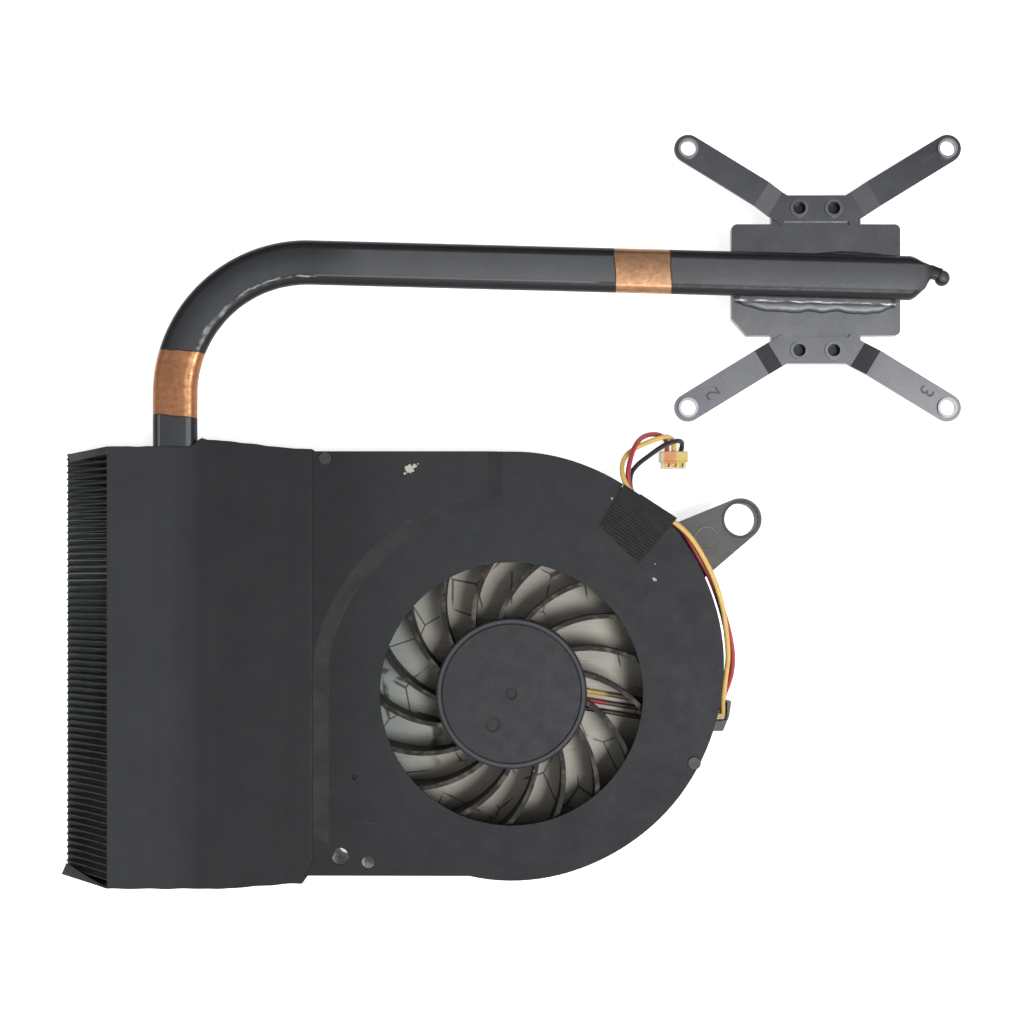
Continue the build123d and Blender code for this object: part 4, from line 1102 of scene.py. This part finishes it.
def buckle_pipe(x, y, z):
    """Small buckles along the inner side of the bend, and slow unevenness elsewhere."""
    away_x, away_y = x - pipe_bend_x, y - pipe_bend_y
    reach = math.hypot(away_x, away_y)
    if x < pipe_bend_x + 4 and y > pipe_bend_y - 2 and reach > 12:
        round_pipe = math.atan2(away_y, away_x)
        inside = ramp(-reach, -22.2, -20.2)
        z -= 0.16 * inside * (0.5 + lumps(round_pipe * 14, 0, 1.0, 3.0))
        z -= 0.06 * hump(reach, pipe_bend_radius, 1.6)
    return (x, y, z + 0.025 * lumps(x, y, 6.0, 8.0))


push_points(pipe, buckle_pipe)
close_piece(40)
start_piece()
bpy.ops.mesh.primitive_uv_sphere_add(
    segments=24, ring_count=14, radius=tail_radius * MM, location=(0, 0, 0)
)
tail_ball = call_it("pipe_tail")
ball_x = run_end_x + tail_reach * run_cos
ball_y = run_end_y + tail_reach * run_sin + 0.15


def squeeze_ball(x, y, z):
    """The sealed end: a drop, a little longer across the pipe, with a dent."""
    dent = 0.12 * hump(x, 0.3, 0.5) * hump(y, 0.2, 0.5) * (1 if z > 0 else 0)
    return (ball_x + x * 0.98, ball_y + y * 1.04, pipe_z + z - dent)


push_points(tail_ball, squeeze_ball)
close_piece(60)
pipe.select_set(True)
bpy.context.view_layer.objects.active = pipe
bpy.ops.object.join()
pipe.data.materials.append(pipe_paint)
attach(pipe, "base")
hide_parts("heat_pipe")


# Cloth tape: a flat end on the cover and a flap folded down over the leads
tape_fold = 41.6
tape_inner = ((33.19, 3.25), (31.31, -6.13))
tape_outer = (3.65, -7.4)
tape_top = 12.0
tape_ribs = 23


def lie_tape(u, v, _):
    """Place of a point of the flat tape: u runs out to the fold, v along the rim."""
    out, along = u + 0.5, v + 0.5
    near = tape_inner[1][0] + along * (tape_inner[0][0] - tape_inner[1][0])
    distance = near + out * (tape_fold - near)
    low = tape_inner[1][1] + out * (tape_outer[1] - tape_inner[1][1])
    high = tape_inner[0][1] + out * (tape_outer[0] - tape_inner[0][1])
    side = low + along * (high - low)
    rib = 0.035 * math.cos(2 * math.pi * tape_ribs * out) * (1 - 0.75 * ramp(out, 0.55, 0.8))
    z = tape_top - 0.03 + rib - 0.06 * ramp(out, 0.86, 1.0) + 0.02 * lumps(distance, side, 1.5)
    ragged = 0.12 * lumps(side, 3.0, 0.6) * (1 - ramp(out, 0.0, 0.12))
    distance += ragged
    x = distance * channel_cos - side * channel_sin
    y = distance * channel_sin + side * channel_cos
    return (x, y, z)


start_piece()
bpy.ops.mesh.primitive_grid_add(x_subdivisions=138, y_subdivisions=26, size=1 * MM)
tape = call_it("cloth_tape")
push_points(tape, lie_tape)


def at_fold(p):
    """Points on the tape's fold, where the flap hangs."""
    distance = p.x * channel_cos + p.y * channel_sin
    side = p.y * channel_cos - p.x * channel_sin
    return distance > tape_fold - 0.03 and side < 0.3


select_points(tape, at_fold)
for out, drop in ((0.12, 0.08), (0.06, 0.2), (0.0, 0.9), (0.0, 0.9), (-0.03, 0.9)):
    extrude_edges(out * channel_cos, out * channel_sin, -drop)
close_piece(50)
use_modifier(tape, "SOLIDIFY", thickness=0.17 * MM, offset=-1.0)
bpy.ops.object.shade_smooth_by_angle(angle=math.radians(50))
tape.data.materials.append(tape_cloth)
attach(tape, "base")
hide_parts("wire_tape")


# Solder along the pipe on the plate


def run_bead(name, side, reaches, height, seed):
    """A lumpy bead beside the pipe; reaches are places along the plate and the bead's width there."""
    start_piece()
    bpy.ops.mesh.primitive_grid_add(x_subdivisions=110, y_subdivisions=12, size=1 * MM)
    bead = call_it(name)
    first, last = reaches[0][0], reaches[-1][0]
    tuck = 0.75

    def width_at(along):
        """Width of the bead at a place along the plate."""
        for (near, wide), (far, next_wide) in zip(reaches, reaches[1:]):
            if along <= far:
                return wide + (next_wide - wide) * ramp(along, near, far)
        return reaches[-1][1]

    def lie_bead(u, v, _):
        """Place of a point of the flat bead, u along the pipe and v away from it."""
        along = first + (u + 0.5) * (last - first)
        out = v + 0.5 if side > 0 else 0.5 - v
        width = width_at(along) * (1 + 0.08 * lumps(along, 0, 1.6, seed))
        ends = ramp(along, first, first + 1.0) * ramp(-along, -last, -last + 1.0)
        across = side * (pipe_width / 2 - tuck + out * (width + tuck))
        crown = math.sqrt(max(0.0, 1 - (max(0.0, out - 0.6) / 0.4) ** 2))
        uneven_height = 1 + 0.08 * lumps(along, across, 2.4, seed)
        z = plate_top + 0.03 + height * crown * (0.35 + 0.65 * ends) * uneven_height
        x = plate_x + along * run_cos - across * run_sin
        y = pipe_plate_y + along * run_sin + across * run_cos
        return (x, y, z)

    push_points(bead, lie_bead)
    set_mode("EDIT")
    bpy.ops.mesh.select_all(action="SELECT")
    bpy.ops.mesh.region_to_loop()
    extrude_edges(0, 0, 0)
    bpy.ops.transform.resize(value=(1, 1, 0), center_override=(0, 0, plate_top * MM))
    bpy.ops.mesh.edge_face_add()
    close_piece(60)
    bead.data.materials.append(solder_tin)
    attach(bead, "base")
    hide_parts("solder_beads")


lower_reaches = (
    (-14.3, 0.9),
    (-11.6, 1.7),
    (-8.6, 2.35),
    (-3.4, 2.5),
    (-0.9, 2.1),
    (1.0, 2.45),
    (3.9, 2.05),
    (6.2, 2.4),
    (10.4, 2.3),
    (14.2, 1.1),
)
upper_reaches = ((-2.0, 0.3), (5.4, 0.9), (9.0, 0.75), (13.2, 0.4))
run_bead("solder_lower", -1, lower_reaches, 0.5, 1.0)
run_bead("solder_upper", 1, upper_reaches, 0.3, 6.0)


# Order digits on the arms
digit_size = 3.6


def stamp_digit(digit, x, y, turn):
    """A small digit on an arm, its top towards the screw hole."""
    start_piece()
    bpy.ops.object.text_add(location=(x * MM, y * MM, arm_top_z * MM), rotation=(0, 0, math.radians(turn)))
    letter = bpy.context.object
    letter.data.body = digit
    letter.data.size = digit_size * MM
    letter.data.align_x = "CENTER"
    letter.data.align_y = "CENTER"
    letter.data.extrude = 0.015 * MM
    bpy.ops.object.convert(target="MESH")
    mark = call_it("arm_digit_" + digit)
    bpy.ops.object.transform_apply()
    mark.data.materials.append(digit_ink)
    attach(mark, "base")


for digit, x, y, turn in (
    ("1", 73.2, 94.15, -58.5),
    ("2", 35.5, 52.85, 121.5),
    ("3", 73.0, 53.25, -121.5),
    ("4", 34.8, 94.15, 58.5),
):
    stamp_digit(digit, x, y, turn)


# Stage: floor, lamp, world and camera
start_piece()
bpy.ops.mesh.primitive_circle_add(vertices=96, radius=3.0, fill_type="NGON", location=(0, 0, -0.05 * MM))
floor = call_it("floor")
bpy.ops.object.transform_apply()
paper = bpy.data.materials.new("floor_paper")
paper.use_nodes = True
paper_tree = paper.node_tree
paper_tree.nodes.remove(paper_tree.nodes["Principled BSDF"])
paper_place = paper_tree.nodes.new("ShaderNodeTexCoord").outputs["Object"]
paper_colour = toned((0.86, 0.86, 0.86, 1), paper_place, (40.0, 0.985, 1.0))
matt = put("ShaderNodeBsdfDiffuse", {"Color": paper_colour})
rays = paper_tree.nodes.new("ShaderNodeLightPath")
seen = either(rays.outputs["Is Camera Ray"], rays.outputs["Is Glossy Ray"])
seen = either(seen, rays.outputs["Is Transmission Ray"])
lift = put("ShaderNodeEmission", {"Strength": times(seen, 0.7)})
whole = put("ShaderNodeAddShader", {0: matt.outputs[0], 1: lift.outputs[0]})
join(whole.outputs[0], paper_tree.nodes["Material Output"].inputs["Surface"])
floor.data.materials.append(paper)

start_piece()
bpy.ops.object.light_add(type="AREA", location=(0.28, -0.15, 0.9))
lamp = bpy.context.object
lamp.name = "soft_lamp"
lamp.data.shape = "SQUARE"
lamp.data.size = 0.24
lamp.data.energy = 5.2
lamp.rotation_euler = (Vector((0, 0.02, 0)) - lamp.location).to_track_quat("-Z", "Y").to_euler()

world = bpy.data.worlds.new("soft_room")
bpy.context.scene.world = world
world.use_nodes = True
world_tree = world.node_tree
sky = world_tree.nodes["Background"]
_, way_y, _ = axes(world_tree.nodes.new("ShaderNodeTexCoord").outputs["Generated"])
front = spread(way_y, 0.26, 0.13, 0.1, 0.92)
join(front, sky.inputs["Color"])

start_piece()
bpy.ops.object.camera_add(location=(0.09 * MM, 20 * MM, 272 * MM), rotation=(0, 0, 0))
camera = bpy.context.object
camera.name = "photo_camera"
camera.data.sensor_width = 36
camera.data.lens = 52.14
camera.data.shift_y = 0.0664
camera.data.clip_start = 0.01
bpy.context.scene.camera = camera
bpy.context.scene.view_settings.view_transform = "Standard"

bpy.context.view_layer.update()
